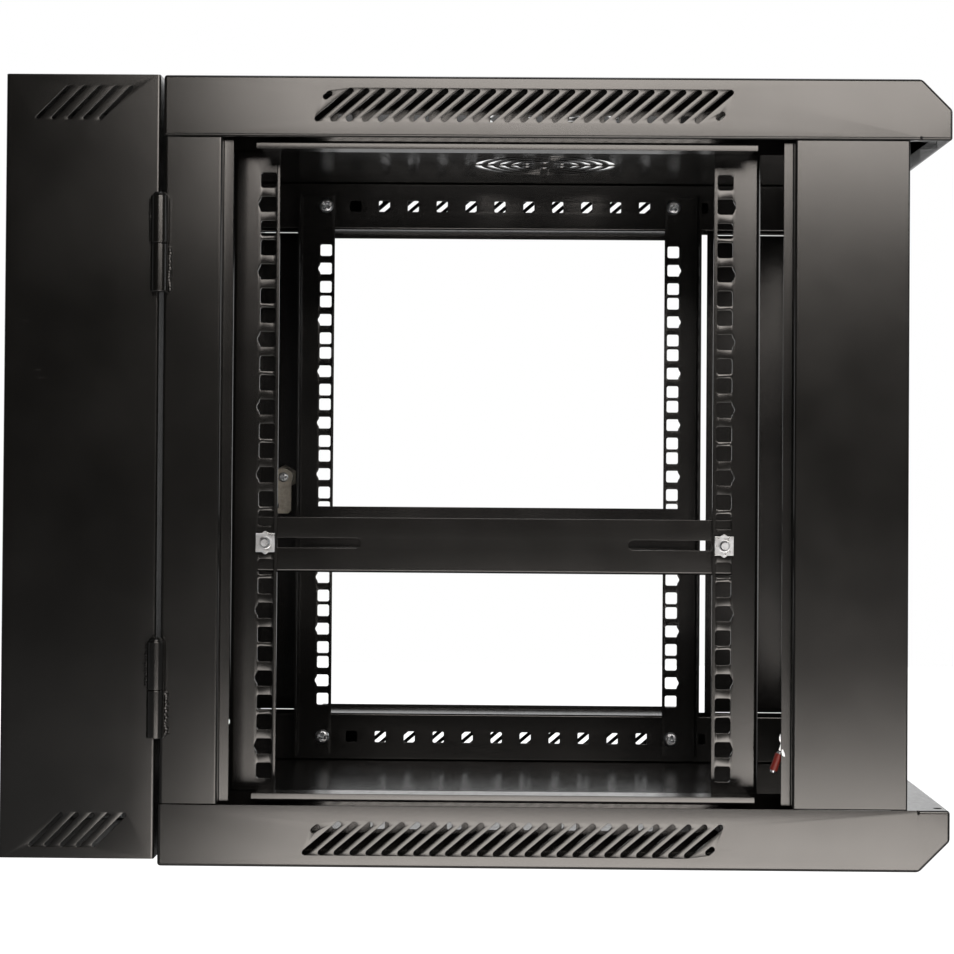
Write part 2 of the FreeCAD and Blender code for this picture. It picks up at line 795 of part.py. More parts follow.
def nut_along_x(label, side, height, bore, bore_sides, x, y, z):
    """A hexagon nut that lies against the plane x, on its +X side."""
    body = new_body(label, x, y, z)
    pad(body, polygon_on(body, "YZ_Plane", 6, f"{side} / 2 / cos(30 deg)"), height)
    hole = polygon_on(body, "YZ_Plane", bore_sides, f"{bore} + thread_clearance")
    cut(body, hole, height, backward=True)
    return body


def cage_nut(label, x, y, z):
    """A nut in a sprung square cage; its neck sits in the rail's hole, towards -X."""
    body = new_body(label, x, y, z)
    half, neck = "cage_side / 2", "(web_hole / 2 - cage_play)"
    tip, foot = f"({half} + cage_tab)", "2 * cage_tab"
    outline = [
        (f"-{half}", f"-{half}"),
        (f"-{foot}", f"-{half}"),
        ("0", f"-{tip}"),
        (foot, f"-{half}"),
        (half, f"-{half}"),
        (half, half),
        (foot, half),
        ("0", tip),
        (f"-{foot}", half),
        (f"-{half}", half),
    ]
    pad(body, outline_on(body, "YZ_Plane", outline), "cage_depth")
    pad(body, box_on(body, "YZ_Plane", f"-{neck}", f"-{neck}", neck, neck), "rail_sheet", backward=True)
    bore = polygon_on(body, "YZ_Plane", 8, "screw_radius + thread_clearance", "-rail_sheet")
    cut(body, bore, "rail_sheet + cage_depth", backward=True)
    return body


def fastener_group(label, piece):
    """The far rear piece and its images at the other three rails, as one node."""
    names = [f"{label}_{place_name}" for place_name in ("far_rear", "near_rear", "far_front", "near_front")]
    return four_images(piece, names, plane_y=RAIL_MIRROR)


def build_fasteners():
    """Screws and nuts at the rails' ends, and cage nuts and screws at the cross bars."""
    y = f"-({BODY_REAR} + rail_station)"
    rail_face, beam_face = f"{RAIL_WEB_FACE} - rail_sheet", f"{RAIL_WEB_FACE} + beam_sheet"
    middle = f"{BODY_FLOOR} + body_height / 2"
    groups = {}
    low = f"{BODY_FLOOR} + {BEAM_HOLE_LEVEL}"
    singles = {
        "rail_screws": screw_along_x("rail_screw", rail_face, y, low),
        "rail_nuts": nut_along_x("rail_nut", "nut_side", "nut_height", "screw_radius", 8, beam_face, y, low),
    }
    for name, single in singles.items():
        upper = mirrored(single, f"{name}_upper", V(0, 0, 1), z=middle)
        groups[name] = fastener_group(f"{name}_low", single) + fastener_group(f"{name}_high", upper)
    bar_z = f"{BODY_FLOOR} + {BAR_LEVEL}"
    groups["cross_bar_screws"] = fastener_group(
        "cross_bar_screw", screw_along_x("bar_screw", f"{rail_face} - bar_sheet", y, bar_z)
    )
    groups["cross_bar_cage_nuts"] = fastener_group("cage_nut", cage_nut("bar_cage_nut", RAIL_WEB_FACE, y, bar_z))
    return [grouped(name, members) for name, members in groups.items()]


# --- Hinges -------------------------------------------------------------------------------


def knuckle(label, split, side, low):
    """One barrel of a hinge, with the weld that holds it to its own section.

    It lies between the split and the split plus its length if low is empty, or
    under the split if low is a minus sign. side is the sign of Y to its section.
    """
    start = f"{split} - knuckle_length" if low else split
    body = new_body(label, f"-{HINGE_X}", f"-{HINGE_Y}", start)
    length = "knuckle_length - knuckle_gap"
    pad(body, circle_on(body, "XY_Plane", "0", "0", "knuckle_radius"), length)
    wall = "(knuckle_radius + swing_clearance)"
    bead = [
        (wall, f"{side}weld_reach"),
        (wall, f"{side}(swing_gap / 2 + swing_clearance)"),
        (f"{wall} - 2", f"{side}(swing_gap / 2 + swing_clearance)"),
        ("knuckle_radius / 4", f"{side}knuckle_radius * 0.95"),
    ]
    pad(body, outline_on(body, "XY_Plane", bead, "knuckle_length / 16"), "knuckle_length * 7 / 8 - knuckle_gap")
    cut(body, circle_on(body, "XY_Plane", "0", "0", "hinge_pin_radius + pin_clearance"), length, backward=True)
    return body


def hinge_pin(label, split):
    """A pin with a head; it hangs in the upper barrel and is fixed in the lower one."""
    start = f"{split} - knuckle_length"
    body = new_body(label, f"-{HINGE_X}", f"-{HINGE_Y}", start)
    head_level = "2 * knuckle_length - knuckle_gap + swing_clearance"
    pad(body, polygon_on(body, "XY_Plane", 16, "pin_head_radius", head_level), "pin_head_radius / 2")
    pad(body, circle_on(body, "XY_Plane", "0", "0", "hinge_pin_radius"), head_level)
    return body


def build_hinges():
    """Two hinges at the near side: barrels on the wall section, barrels and pins on the body."""
    parts = []
    for name, split in (("upper", UPPER_SPLIT), ("lower", LOWER_SPLIT)):
        parts.append(knuckle(f"hinge_wall_barrel_{name}", split, "", ""))
        parts.append(knuckle(f"hinge_body_barrel_{name}", split, "-", "-"))
        parts.append(hinge_pin(f"hinge_pin_{name}", split))
    return parts


# --- Swing lock -----------------------------------------------------------------------------


def lock_body(label, x="width / 2"):
    """A body on the lock's axis, with +X pointing out of the cabinet."""
    return new_body(label, x, f"-({BODY_REAR} + lock_station)", f"{BODY_FLOOR} + lock_level")


def build_lock():
    """A cam lock in the far rear column: barrel, nut, turning plug, cam and cam screw."""
    barrel = lock_body("lock_barrel")
    pad(barrel, polygon_on(barrel, "YZ_Plane", 16, "barrel_flange_radius"), "barrel_flange")
    pad(barrel, polygon_on(barrel, "YZ_Plane", 16, "barrel_radius"), "barrel_reach", backward=True)
    bore = circle_on(barrel, "YZ_Plane", "0", "0", "plug_radius + pin_clearance", "-barrel_reach")
    cut(barrel, bore, "barrel_reach + barrel_flange", backward=True)

    nut = nut_along_x(
        "lock_nut",
        "lock_nut_side",
        "lock_nut_height",
        "barrel_radius",
        16,
        "width / 2 - sheet - lock_nut_height",
        f"-({BODY_REAR} + lock_station)",
        f"{BODY_FLOOR} + lock_level",
    )

    plug = lock_body("lock_plug")
    half = "plug_square / 2"
    length = "barrel_reach + swing_clearance + barrel_flange + swing_clearance"
    start = "-(barrel_reach + swing_clearance)"
    pad(plug, circle_on(plug, "YZ_Plane", "0", "0", "plug_radius", start), length)
    tail = box_on(plug, "YZ_Plane", f"-{half}", f"-{half}", half, half, start)
    pad(plug, tail, "cam_sheet", backward=True)
    keyway = box_on(plug, "YZ_Plane", "-plug_radius / 8", "-plug_radius / 2", "plug_radius / 8", "plug_radius / 2",
                    "barrel_flange - 2 * swing_clearance")
    cut(plug, keyway, "barrel_flange", backward=True)
    thread = polygon_on(plug, "YZ_Plane", 8, "entry_screw_radius + thread_clearance",
                        "-(barrel_reach + swing_clearance + cam_sheet)")
    cut(plug, thread, "entry_screw_length", backward=True)

    cam = lock_body("lock_cam")
    inner = "-(barrel_reach + swing_clearance + cam_sheet)"
    wide, clip = "cam_width / 2", "cam_width / 5"
    pad(cam, polygon_on(cam, "YZ_Plane", 16, "barrel_radius", inner), "cam_sheet")
    arm = [
        (f"-{wide}", "0"),
        (f"-{wide}", f"-(cam_length - {clip})"),
        (f"-({wide} - {clip})", "-cam_length"),
        (wide, "-cam_length"),
        (wide, "0"),
    ]
    pad(cam, outline_on(cam, "YZ_Plane", arm, inner), "cam_sheet")
    socket = box_on(cam, "YZ_Plane", f"-({half} + thread_clearance)", f"-({half} + thread_clearance)",
                    f"{half} + thread_clearance", f"{half} + thread_clearance", inner)
    cut(cam, socket, "cam_sheet", backward=True)
    catch_start = "lock_station + swing_gap - cam_clearance"
    catch_end = "lock_station + swing_gap + wall_sheet + cam_clearance"
    catch = box_on(cam, "YZ_Plane", f"{wide} - cam_catch", f"-({catch_end})", f"{wide} + cam_catch",
                   f"-({catch_start})", inner)
    cut(cam, catch, "cam_sheet", backward=True)

    screw = lock_body("lock_cam_screw")
    pad(screw, polygon_on(screw, "YZ_Plane", 12, "cam_screw_head", inner), "cam_sheet", backward=True)
    pad(screw, polygon_on(screw, "YZ_Plane", 8, "entry_screw_radius", inner), "entry_screw_length - pin_clearance")
    return [barrel, nut, plug, cam, screw]


# --- Wall section ------------------------------------------------------------------------------


def build_wall_tray():
    """Back and sides of the wall section, folded from one sheet, with flanges turned in at the front."""
    body = new_body("wall_tray")
    half, skin = "width / 2", "wall_sheet"
    right = [
        (half, "0"),
        (half, "-wall_depth"),
        (f"{half} - wall_return", "-wall_depth"),
        (f"{half} - wall_return", f"-(wall_depth - {skin})"),
        (f"{half} - {skin}", f"-(wall_depth - {skin})"),
        (f"{half} - {skin}", f"-{skin}"),
    ]
    left = [(f"-({x})", y) for x, y in reversed(right)]
    pad(body, outline_on(body, "XY_Plane", right + left), "wall_height", symmetric=True)
    back = sketch_on(body, "XZ_Plane", f"2 * {skin}")
    add_box(back, "-window_width / 2", "-window_height / 2", "window_width / 2", "window_height / 2")
    for across in ("-", ""):
        for up in ("-", ""):
            add_circle(back, f"{across}wall_bolt_span / 2", f"{up}wall_bolt_rise / 2", "wall_bolt_radius")
    cut(body, back, f"3 * {skin}")
    for sign in ("-", ""):
        level = f"{sign}(wall_height / 2 - wall_vent_level)"
        vent_row(body, "wall_vent", level, "wall_vent_count", "wall_vent_first")
    low = f"{BODY_FLOOR} + lock_level - cam_length + 3"
    high = f"{BODY_FLOOR} + lock_level + cam_width / 2 - cam_catch + cam_clearance"
    slot = box_on(body, "XZ_Plane", f"{CAM_FACE} - cam_sheet - cam_clearance", low, f"{CAM_FACE} + cam_clearance", high,
                  f"wall_depth + {skin}")
    cut(body, slot, f"3 * {skin}")
    return body


def end_cap(label):
    """The bottom of the wall section: a plate with flanges front and rear and a cable entry."""
    body = new_body(label, z="-wall_height / 2")
    rear, front, skin = "wall_sheet", "(wall_depth - wall_sheet)", "wall_sheet"
    channel = [
        (f"-{rear}", "0"),
        (f"-{rear}", "cap_flange"),
        (f"-({rear} + {skin})", "cap_flange"),
        (f"-({rear} + {skin})", skin),
        (f"-({front} - {skin})", skin),
        (f"-({front} - {skin})", "cap_flange"),
        (f"-{front}", "cap_flange"),
        (f"-{front}", "0"),
    ]
    pad(body, outline_on(body, "YZ_Plane", channel), "width - 2 * wall_sheet", symmetric=True)
    entry = sketch_on(body, "XY_Plane")
    across, deep = "entry_length / 2", "entry_width / 2"
    add_box(entry, f"-{across}", f"-wall_depth / 2 - {deep}", across, f"-wall_depth / 2 + {deep}")
    add_entry_holes(entry)
    cut(body, entry, skin, backward=True)
    return body


def entry_points():
    """Distances along X of the two screws beside a cable entry."""
    return [f"{side}(entry_length / 2 + entry_margin / 2)" for side in ("-", "")]


def add_entry_holes(sketch):
    """The holes for the two screws."""
    for x in entry_points():
        add_outline(sketch, polygon(8, "entry_screw_radius + thread_clearance", x, "-wall_depth / 2"))


def entry_cover(label):
    """The plate that closes the lower cable entry, inside the end cap."""
    body = new_body(label, z="-wall_height / 2 + wall_sheet")
    across, deep = "(entry_length / 2 + entry_margin)", "(entry_width / 2 + entry_margin)"
    plate = sketch_on(body, "XY_Plane")
    add_box(plate, f"-{across}", f"-wall_depth / 2 - {deep}", across, f"-wall_depth / 2 + {deep}")
    add_entry_holes(plate)
    pad(body, plate, "sheet")
    return body


def entry_screws():
    """The two screws of the lower entry, with their heads outside."""
    screws = []
    for x in entry_points():
        body = new_body("entry_screw", x, "-wall_depth / 2", "-wall_height / 2")
        pad(body, polygon_on(body, "XY_Plane", 12, "entry_head_radius"), "entry_head_height", backward=True)
        pad(body, polygon_on(body, "XY_Plane", 8, "entry_screw_radius"), "entry_screw_length")
        screws.append(body)
    return screws


def build_wall_section():
    """Tray, two end caps, two entry covers and their screws."""
    bottom_cap, bottom_plate = end_cap("wall_bottom_cap"), entry_cover("cable_entry_cover_bottom")
    screws = entry_screws()
    upright = V(0, 0, 1)
    upper_screws = [mirrored(screw, "entry_screw_upper", upright) for screw in screws]
    return [
        build_wall_tray(),
        bottom_cap,
        mirrored(bottom_cap, "wall_top_cap", upright),
        bottom_plate,
        mirrored(bottom_plate, "cable_entry_cover_top", upright),
        grouped("cable_entry_screws", screws + upper_screws),
    ]


# --- Earth point ----------------------------------------------------------------------------------


def earth_body(label):
    """A body at the foot of the earth stud, on the inner face of the near front panel seat."""
    y = f"-({BODY_REAR} + {FRONT_PLANE} - front_column_face - panel_seat / 2)"
    return new_body(label, "-(width / 2 - panel_recess - sheet)", y, f"{BODY_FLOOR} + earth_level")


def build_earth_point():
    """A welded stud with a nut, and a ring terminal that hangs from it in its red sleeve."""
    stud = earth_body("earth_stud")
    pad(stud, polygon_on(stud, "YZ_Plane", 8, "earth_stud_radius"), "earth_stud_length")

    nut = nut_along_x(
        "earth_nut",
        "earth_nut_side",
        "earth_nut_height",
        "earth_stud_radius",
        8,
        "-(width / 2 - panel_recess - sheet - ring_sheet)",
        f"-({BODY_REAR} + {FRONT_PLANE} - front_column_face - panel_seat / 2)",
        f"{BODY_FLOOR} + earth_level",
    )

    terminal = earth_body("earth_terminal")
    pad(terminal, polygon_on(terminal, "YZ_Plane", 12, "earth_ring_radius"), "ring_sheet")
    neck, centre = "crimp_radius", "(sleeve_radius + swing_clearance)"
    tongue = [
        ("0", "0"),
        ("0", "-(crimp_start - crimp_radius)"),
        (f"{centre} - {neck}", "-(crimp_start + crimp_radius)"),
        (f"{centre} + {neck}", "-(crimp_start + crimp_radius)"),
        ("ring_sheet", "-(crimp_start - 2 * crimp_radius)"),
        ("ring_sheet", "0"),
    ]
    pad(terminal, outline_on(terminal, "XZ_Plane", tongue), "2 * crimp_radius", symmetric=True)
    foot = "-(crimp_start + sleeve_length + crimp_radius)"
    pad(terminal, polygon_on(terminal, "XY_Plane", 12, neck, foot, centre), "sleeve_length + crimp_radius")
    hole = polygon_on(terminal, "YZ_Plane", 12, "earth_stud_radius + 2 * thread_clearance", "-ring_sheet")
    cut(terminal, hole, "3 * ring_sheet", backward=True)

    sleeve = earth_body("earth_terminal_sleeve")
    top = "-(crimp_start + crimp_radius + sleeve_length)"
    pad(sleeve, polygon_on(sleeve, "XY_Plane", 12, "sleeve_radius", top, centre), "sleeve_length")
    core = polygon_on(sleeve, "XY_Plane", 12, f"{neck} + thread_clearance", top, centre)
    cut(sleeve, core, "sleeve_length", backward=True)
    for hanging in (terminal, sleeve):
        hanging.Placement = FreeCAD.Placement(V(0, 0, 0), FreeCAD.Rotation(V(1, 0, 0), -1.0))
        bind(hanging, Placement__Rotation__Angle="earth_tilt * 1 deg")
    return [stud, nut, terminal, sleeve]


# --- Check and write -----------------------------------------------------------------------------------


def build_cabinet():
    """Every piece, in the order in which the cabinet goes together."""
    return (
        build_wall_section()
        + build_covers()
        + build_columns()
        + build_beams()
        + build_rails()
        + build_cross_bars()
        + build_fasteners()
        + build_hinges()
        + build_lock()
        + build_earth_point()
    )


def check(pieces):
    """Stop if anything failed to build or any piece is empty or broken."""
    doc.recompute()
    for item in doc.Objects:
        if "Invalid" in item.State or "Error" in item.State:
            raise RuntimeError(f"{item.Label} failed: {item.State}")
    for item in pieces:
        if item.Shape.isNull() or not item.Shape.isValid() or not item.Shape.Solids:
            raise RuntimeError(f"{item.Label} is not a valid solid")


pieces = build_cabinet()
check(pieces)
os.makedirs("parts", exist_ok=True)
for piece in pieces:
    piece.Shape.exportStep(f"parts/{piece.Label}.step")
    bounds = piece.Shape.BoundBox
    print(f"{piece.Label}: {len(piece.Shape.Solids)} solids, {piece.Shape.Volume / 1000:.1f} cm3, "
          f"{bounds.XLength:.1f} x {bounds.YLength:.1f} x {bounds.ZLength:.1f}")
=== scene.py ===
"""Wall-mount network cabinet, dressed for the studio.

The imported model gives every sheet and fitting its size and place. This file rounds
the folds and cut edges of the sheets, models the small fittings in full, gives each
surface its finish, and sets up the camera, the lamps and the floor.

Units are metres. +Z is up, the wall is the plane Y = 0 and the cabinet faces -Y.
"""

import json
import logging
import math
import random
from collections import Counter
from collections.abc import Callable, Iterable
from dataclasses import dataclass
from enum import Enum

import bmesh
import bpy
from mathutils import Matrix, Vector


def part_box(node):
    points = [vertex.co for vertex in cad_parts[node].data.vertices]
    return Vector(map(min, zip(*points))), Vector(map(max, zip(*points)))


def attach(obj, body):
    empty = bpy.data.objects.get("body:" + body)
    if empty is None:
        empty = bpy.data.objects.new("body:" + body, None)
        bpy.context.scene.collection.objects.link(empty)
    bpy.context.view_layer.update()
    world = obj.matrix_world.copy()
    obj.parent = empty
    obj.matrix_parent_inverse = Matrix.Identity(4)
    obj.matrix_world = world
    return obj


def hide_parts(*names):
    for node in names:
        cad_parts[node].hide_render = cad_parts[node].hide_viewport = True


LOG = logging.getLogger("cabinet")
MM = 0.001
OUTWARD = Vector((1.0, 0.0, 0.0))
BACKWARD = Vector((0.0, 1.0, 0.0))
UPWARD = Vector((0.0, 0.0, 1.0))

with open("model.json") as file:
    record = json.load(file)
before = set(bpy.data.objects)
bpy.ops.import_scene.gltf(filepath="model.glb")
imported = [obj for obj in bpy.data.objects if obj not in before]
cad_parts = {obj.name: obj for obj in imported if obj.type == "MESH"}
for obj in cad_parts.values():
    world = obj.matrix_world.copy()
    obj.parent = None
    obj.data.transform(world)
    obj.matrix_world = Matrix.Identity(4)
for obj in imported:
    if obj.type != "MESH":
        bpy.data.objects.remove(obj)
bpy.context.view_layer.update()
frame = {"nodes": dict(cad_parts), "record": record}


class Body(Enum):
    """The rigid bodies that pieces ride on."""

    WALL = "wall_section"
    SWING = "swing_body"
    LOCK = "lock_turning"


class Slot(Enum):
    """The record's material slots."""

    PAINT = "black_paint"
    ZINC = "bright_zinc"
    NICKEL = "nickel_plate"
    SLEEVE = "red_sleeve"


OWNERS = {node: Body(body) for body, nodes in frame["record"]["behaviour"]["bodies"].items() for node in nodes}


def corners(node: str) -> tuple[Vector, Vector]:
    """The lowest and highest corner of a CAD node's box."""
    low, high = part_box(node)
    return Vector(low), Vector(high)


def middle(low: Vector, high: Vector, x: float) -> Vector:
    """The middle of a box, moved along X to a given place."""
    return Vector((x, (low.y + high.y) / 2, (low.z + high.z) / 2))


# --- Shader node groups ---


@dataclass
class Wiring:
    """Short ways to add and join nodes in one tree."""

    tree: bpy.types.NodeTree

    def add(self, kind: str, **settings: object) -> bpy.types.Node:
        """Add a node.

        Args:
            kind: The node's type name.
            settings: Properties to set on it.

        Returns:
            The node.
        """
        node = self.tree.nodes.new(kind)
        for word, value in settings.items():
            setattr(node, word, value)
        return node

    def feed(self, target: bpy.types.Node, socket: str | int, source: object) -> None:
        """Give an input a constant, or join it to an output socket.

        Args:
            target: The node that is fed.
            socket: The input's name or number.
            source: A value or an output socket.
        """
        if isinstance(source, bpy.types.NodeSocket):
            self.tree.links.new(source, target.inputs[socket])
        else:
            target.inputs[socket].default_value = source

    def fill(self, kind: str, **inputs: object) -> bpy.types.Node:
        """Add a node and feed its inputs.

        Args:
            kind: The node's type name.
            inputs: Input names and what feeds them.

        Returns:
            The node.
        """
        node = self.add(kind)
        for socket, source in inputs.items():
            self.feed(node, socket, source)
        return node

    def place(self) -> bpy.types.NodeSocket:
        """The piece's own coordinates."""
        return self.add("ShaderNodeTexCoord").outputs["Object"]

    def noise(self, vector: object, scale: object, detail: float, rough: float = 0.5) -> bpy.types.NodeSocket:
        """Three-dimensional noise.

        Args:
            vector: The coordinates.
            scale: Cells per metre.
            detail: Number of finer layers.
            rough: Weight of the finer layers.

        Returns:
            The noise's value.
        """
        node = self.fill("ShaderNodeTexNoise", Vector=vector, Scale=scale, Detail=detail, Roughness=rough)
        return node.outputs["Fac"]

    def math(self, operation: str, first: object, second: object = 0.0, third: object = 0.0) -> bpy.types.NodeSocket:
        """Combine up to three numbers with one Math node.

        Args:
            operation: The node's operation.
            first: A value or socket.
            second: A value or socket.
            third: A value or socket.

        Returns:
            The result.
        """
        node = self.add("ShaderNodeMath", operation=operation)
        for index, value in enumerate((first, second, third)):
            self.feed(node, index, value)
        return node.outputs[0]

    def ramp(self, value: object, low: float, high: float) -> bpy.types.NodeSocket:
        """Stretch a value so that two limits become 0 and 1, held within those.

        Args:
            value: A value or socket.
            low: The limit that becomes 0.
            high: The limit that becomes 1.

        Returns:
            The result.
        """
        node = self.add("ShaderNodeMapRange", clamp=True)
        for word, number in (("Value", value), ("From Min", low), ("From Max", high)):
            self.feed(node, word, number)
        return node.outputs["Result"]

    def blend(self, amount: object, first: object, second: object) -> bpy.types.NodeSocket:
        """Mix two colours.

        Args:
            amount: 0 for the first colour, 1 for the second.
            first: A colour or socket.
            second: A colour or socket.

        Returns:
            The mixed colour.
        """
        node = self.add("ShaderNodeMix", data_type="RGBA")
        for index, value in ((0, amount), (6, first), (7, second)):
            self.feed(node, index, value)
        return node.outputs[2]

    def bump(self, height: object, strength: float, depth: float) -> bpy.types.NodeSocket:
        """A normal that is bent by a height.

        Args:
            height: The height's socket.
            strength: How much of it shows.
            depth: Real depth of the relief, in metres.

        Returns:
            The normal.
        """
        return self.fill("ShaderNodeBump", Strength=strength, Distance=depth, Height=height).outputs["Normal"]

    def use(self, group: bpy.types.NodeTree, **values: float) -> bpy.types.Node:
        """Add a shared group.

        Args:
            group: The group's tree.
            values: Input names, with underscores for spaces, and their numbers.

        Returns:
            The group's node.
        """
        node = self.add("ShaderNodeGroup", node_tree=group)
        for word, value in values.items():
            node.inputs[word.replace("_", " ")].default_value = value
        return node


class Effects:
    """Effects that several finishes share, each built once."""

    def __init__(self) -> None:
        """Build the groups."""
        self.grain = self._grain()
        # Painted edge highlight: a mask that makes the edges lighter in patches.
        self.edge_highlight = self._edge_highlight()
        self.dust = self._dust()
        self.scuffs = self._scuffs()

    @staticmethod
    def _start(name: str, inputs: dict[str, float], outputs: tuple[str, ...]) -> tuple:
        """Start a group with number inputs and outputs.

        Args:
            name: The group's name.
            inputs: Input names and their default values.
            outputs: Output names.

        Returns:
            The group, its wiring, the given values and the result node.
        """
        group = bpy.data.node_groups.new(name, "ShaderNodeTree")
        for word, value in inputs.items():
            socket = group.interface.new_socket(word, in_out="INPUT", socket_type="NodeSocketFloat")
            socket.default_value = value
        for word in outputs:
            group.interface.new_socket(word, in_out="OUTPUT", socket_type="NodeSocketFloat")
        given = group.nodes.new("NodeGroupInput")
        result = group.nodes.new("NodeGroupOutput")
        return group, Wiring(group), given.outputs, result

    def _grain(self) -> bpy.types.NodeTree:
        """Fine texture of a baked coating: orange peel with tiny pits, as height and tone.

        Returns:
            The group.
        """
        inputs = {"Peel size": 1.6, "Pit size": 0.35, "Pit depth": 0.5}
        group, wires, given, result = self._start("coating_grain", inputs, ("Height", "Tone"))
        place = wires.place()
        peel = wires.noise(place, wires.math("DIVIDE", 1000.0, given["Peel size"]), 1.0)
        pits = wires.noise(place, wires.math("DIVIDE", 1000.0, given["Pit size"]), 2.0, 0.6)
        pits = wires.math("MULTIPLY", wires.ramp(pits, 0.3, 0.7), given["Pit depth"])
        wires.feed(result, "Height", wires.math("ADD", peel, pits))
        wires.feed(result, "Tone", wires.ramp(wires.noise(place, 14.0, 3.0, 0.55), 0.3, 0.7))
        return group

    def _edge_highlight(self) -> bpy.types.NodeTree:
        """Mask of the painted edge highlight: the places along edges that are made lighter, broken up by noise.

        Returns:
            The group.
        """
        group, wires, given, result = self._start("painted_edge_highlight", {"Amount": 0.5}, ("Mask",))
        rounded = wires.fill("ShaderNodeBevel", Radius=0.5 * MM)
        rounded.samples = 4
        apart = wires.add("ShaderNodeVectorMath", operation="DISTANCE")
        wires.feed(apart, 0, rounded.outputs["Normal"])
        wires.feed(apart, 1, wires.add("ShaderNodeNewGeometry").outputs["Normal"])
        edge = wires.ramp(apart.outputs["Value"], 0.12, 0.5)
        patches = wires.ramp(wires.noise(wires.place(), 90.0, 3.0, 0.6), 0.35, 0.7)
        mask = wires.math("MULTIPLY", wires.math("MULTIPLY", edge, patches), given["Amount"])
        wires.feed(result, "Mask", mask)
        return group

    def _dust(self) -> bpy.types.NodeTree:
        """Mask of the light dust that settles on faces that point up.

        Returns:
            The group.
        """
        group, wires, given, result = self._start("settled_dust", {"Amount": 0.25}, ("Mask",))
        facing = wires.add("ShaderNodeSeparateXYZ")
        wires.feed(facing, 0, wires.add("ShaderNodeNewGeometry").outputs["Normal"])
        specks = wires.ramp(wires.noise(wires.place(), 220.0, 4.0, 0.7), 0.42, 0.72)
        mask = wires.math("MULTIPLY", wires.ramp(facing.outputs["Z"], 0.6, 1.0), specks)
        wires.feed(result, "Mask", wires.math("MULTIPLY", mask, given["Amount"]))
        return group

    def _scuffs(self) -> bpy.types.NodeTree:
        """Mask of faint hairline marks in a few rubbed patches.

        Returns:
            The group.
        """
        group, wires, given, result = self._start("handling_scuffs", {"Amount": 0.3}, ("Mask",))
        place = wires.place()
        stretch = wires.fill("ShaderNodeMapping", Scale=(1.0, 0.15, 1.0), Rotation=(0.5, 0.2, 0.3), Vector=place)
        lines = wires.ramp(wires.noise(stretch.outputs[0], 520.0, 2.0, 0.4), 0.68, 0.74)
        patches = wires.ramp(wires.noise(place, 9.0, 3.0, 0.6), 0.55, 0.75)
        mask = wires.math("MULTIPLY", wires.math("MULTIPLY", lines, patches), given["Amount"])
        wires.feed(result, "Mask", mask)
        return group


# --- Finishes ---


def new_material(name: str) -> tuple[bpy.types.Material, Wiring, bpy.types.Node]:
    """Start a material.

    Args:
        name: Its name.

    Returns:
        The material, its wiring and its shader node.
    """
    material = bpy.data.materials.new(name)
    material.use_nodes = True
    return material, Wiring(material.node_tree), material.node_tree.nodes["Principled BSDF"]


def opaque(colour: tuple[float, float, float], times: float = 1.0) -> tuple[float, ...]:
    """A colour, made lighter by a factor, with its alpha."""
    return (*(channel * times for channel in colour), 1.0)


@dataclass(frozen=True)
class PowderCoat:
    """Baked powder coat on steel sheet."""

    name: str
    colour: tuple[float, float, float] = (0.0038, 0.0037, 0.0034)
    # Lighter colour that the painted edge highlight and the scuffs turn the coat to.
    scuff_and_edge_highlight_colour: tuple[float, float, float] = (0.03, 0.029, 0.028)
    dusty: tuple[float, float, float] = (0.06, 0.057, 0.052)
    roughness: float = 0.19
    specular: float = 0.9
    relief: float = 0.1
    # Strength of the painted edge highlight.
    edge_highlight: float = 0.5
    dust: float = 0.2

    def build(self, effects: Effects) -> bpy.types.Material:
        """Make the material.

        Args:
            effects: The shared node groups.

        Returns:
            The material.
        """
        material, wires, shader = new_material(self.name)
        grain = wires.use(effects.grain).outputs
        # Painted edge highlight: edges made lighter in broken patches, in place of the highlights that fall on them.
        edge_highlight = wires.use(effects.edge_highlight, Amount=self.edge_highlight).outputs["Mask"]
        dust = wires.use(effects.dust, Amount=self.dust).outputs["Mask"]
        scuffs = wires.use(effects.scuffs, Amount=0.3).outputs["Mask"]
        base = wires.blend(grain["Tone"], opaque(self.colour), opaque(self.colour, 1.3))
        # Edges under the painted highlight and the scuff marks both turn towards the lighter colour.
        base = wires.blend(wires.math("MAXIMUM", edge_highlight, scuffs), base, opaque(self.scuff_and_edge_highlight_colour))
        wires.feed(shader, "Base Color", wires.blend(dust, base, opaque(self.dusty)))
        rough = wires.math("MULTIPLY_ADD", grain["Tone"], 0.04, self.roughness - 0.02)
        rough = wires.math("MULTIPLY_ADD", scuffs, 0.2, rough)
        wires.feed(shader, "Roughness", wires.math("MULTIPLY_ADD", dust, 0.3, rough))
        shader.inputs["Specular IOR Level"].default_value = self.specular
        wires.feed(shader, "Normal", wires.bump(grain["Height"], self.relief, 0.06 * MM))
        return material


@dataclass(frozen=True)
class Plating:
    """Bright metal: zinc plate, nickel plate or tin."""

    name: str
    colour: tuple[float, float, float]
    tint: tuple[float, float, float]
    roughness: float = 0.3
    relief: float = 0.1

    def build(self, effects: Effects) -> bpy.types.Material:
        """Make the material.

        Args:
            effects: The shared node groups.

        Returns:
            The material.
        """
        material, wires, shader = new_material(self.name)
        grain = wires.use(effects.grain, Peel_size=0.5, Pit_size=0.12).outputs
        clouds = wires.ramp(wires.noise(wires.place(), 260.0, 4.0, 0.6), 0.35, 0.65)
        wires.feed(shader, "Base Color", wires.blend(clouds, opaque(self.colour), opaque(self.tint)))
        shader.inputs["Metallic"].default_value = 1.0
        wires.feed(shader, "Roughness", wires.math("MULTIPLY_ADD", clouds, 0.14, self.roughness - 0.05))
        wires.feed(shader, "Normal", wires.bump(grain["Height"], self.relief, 0.02 * MM))
        return material


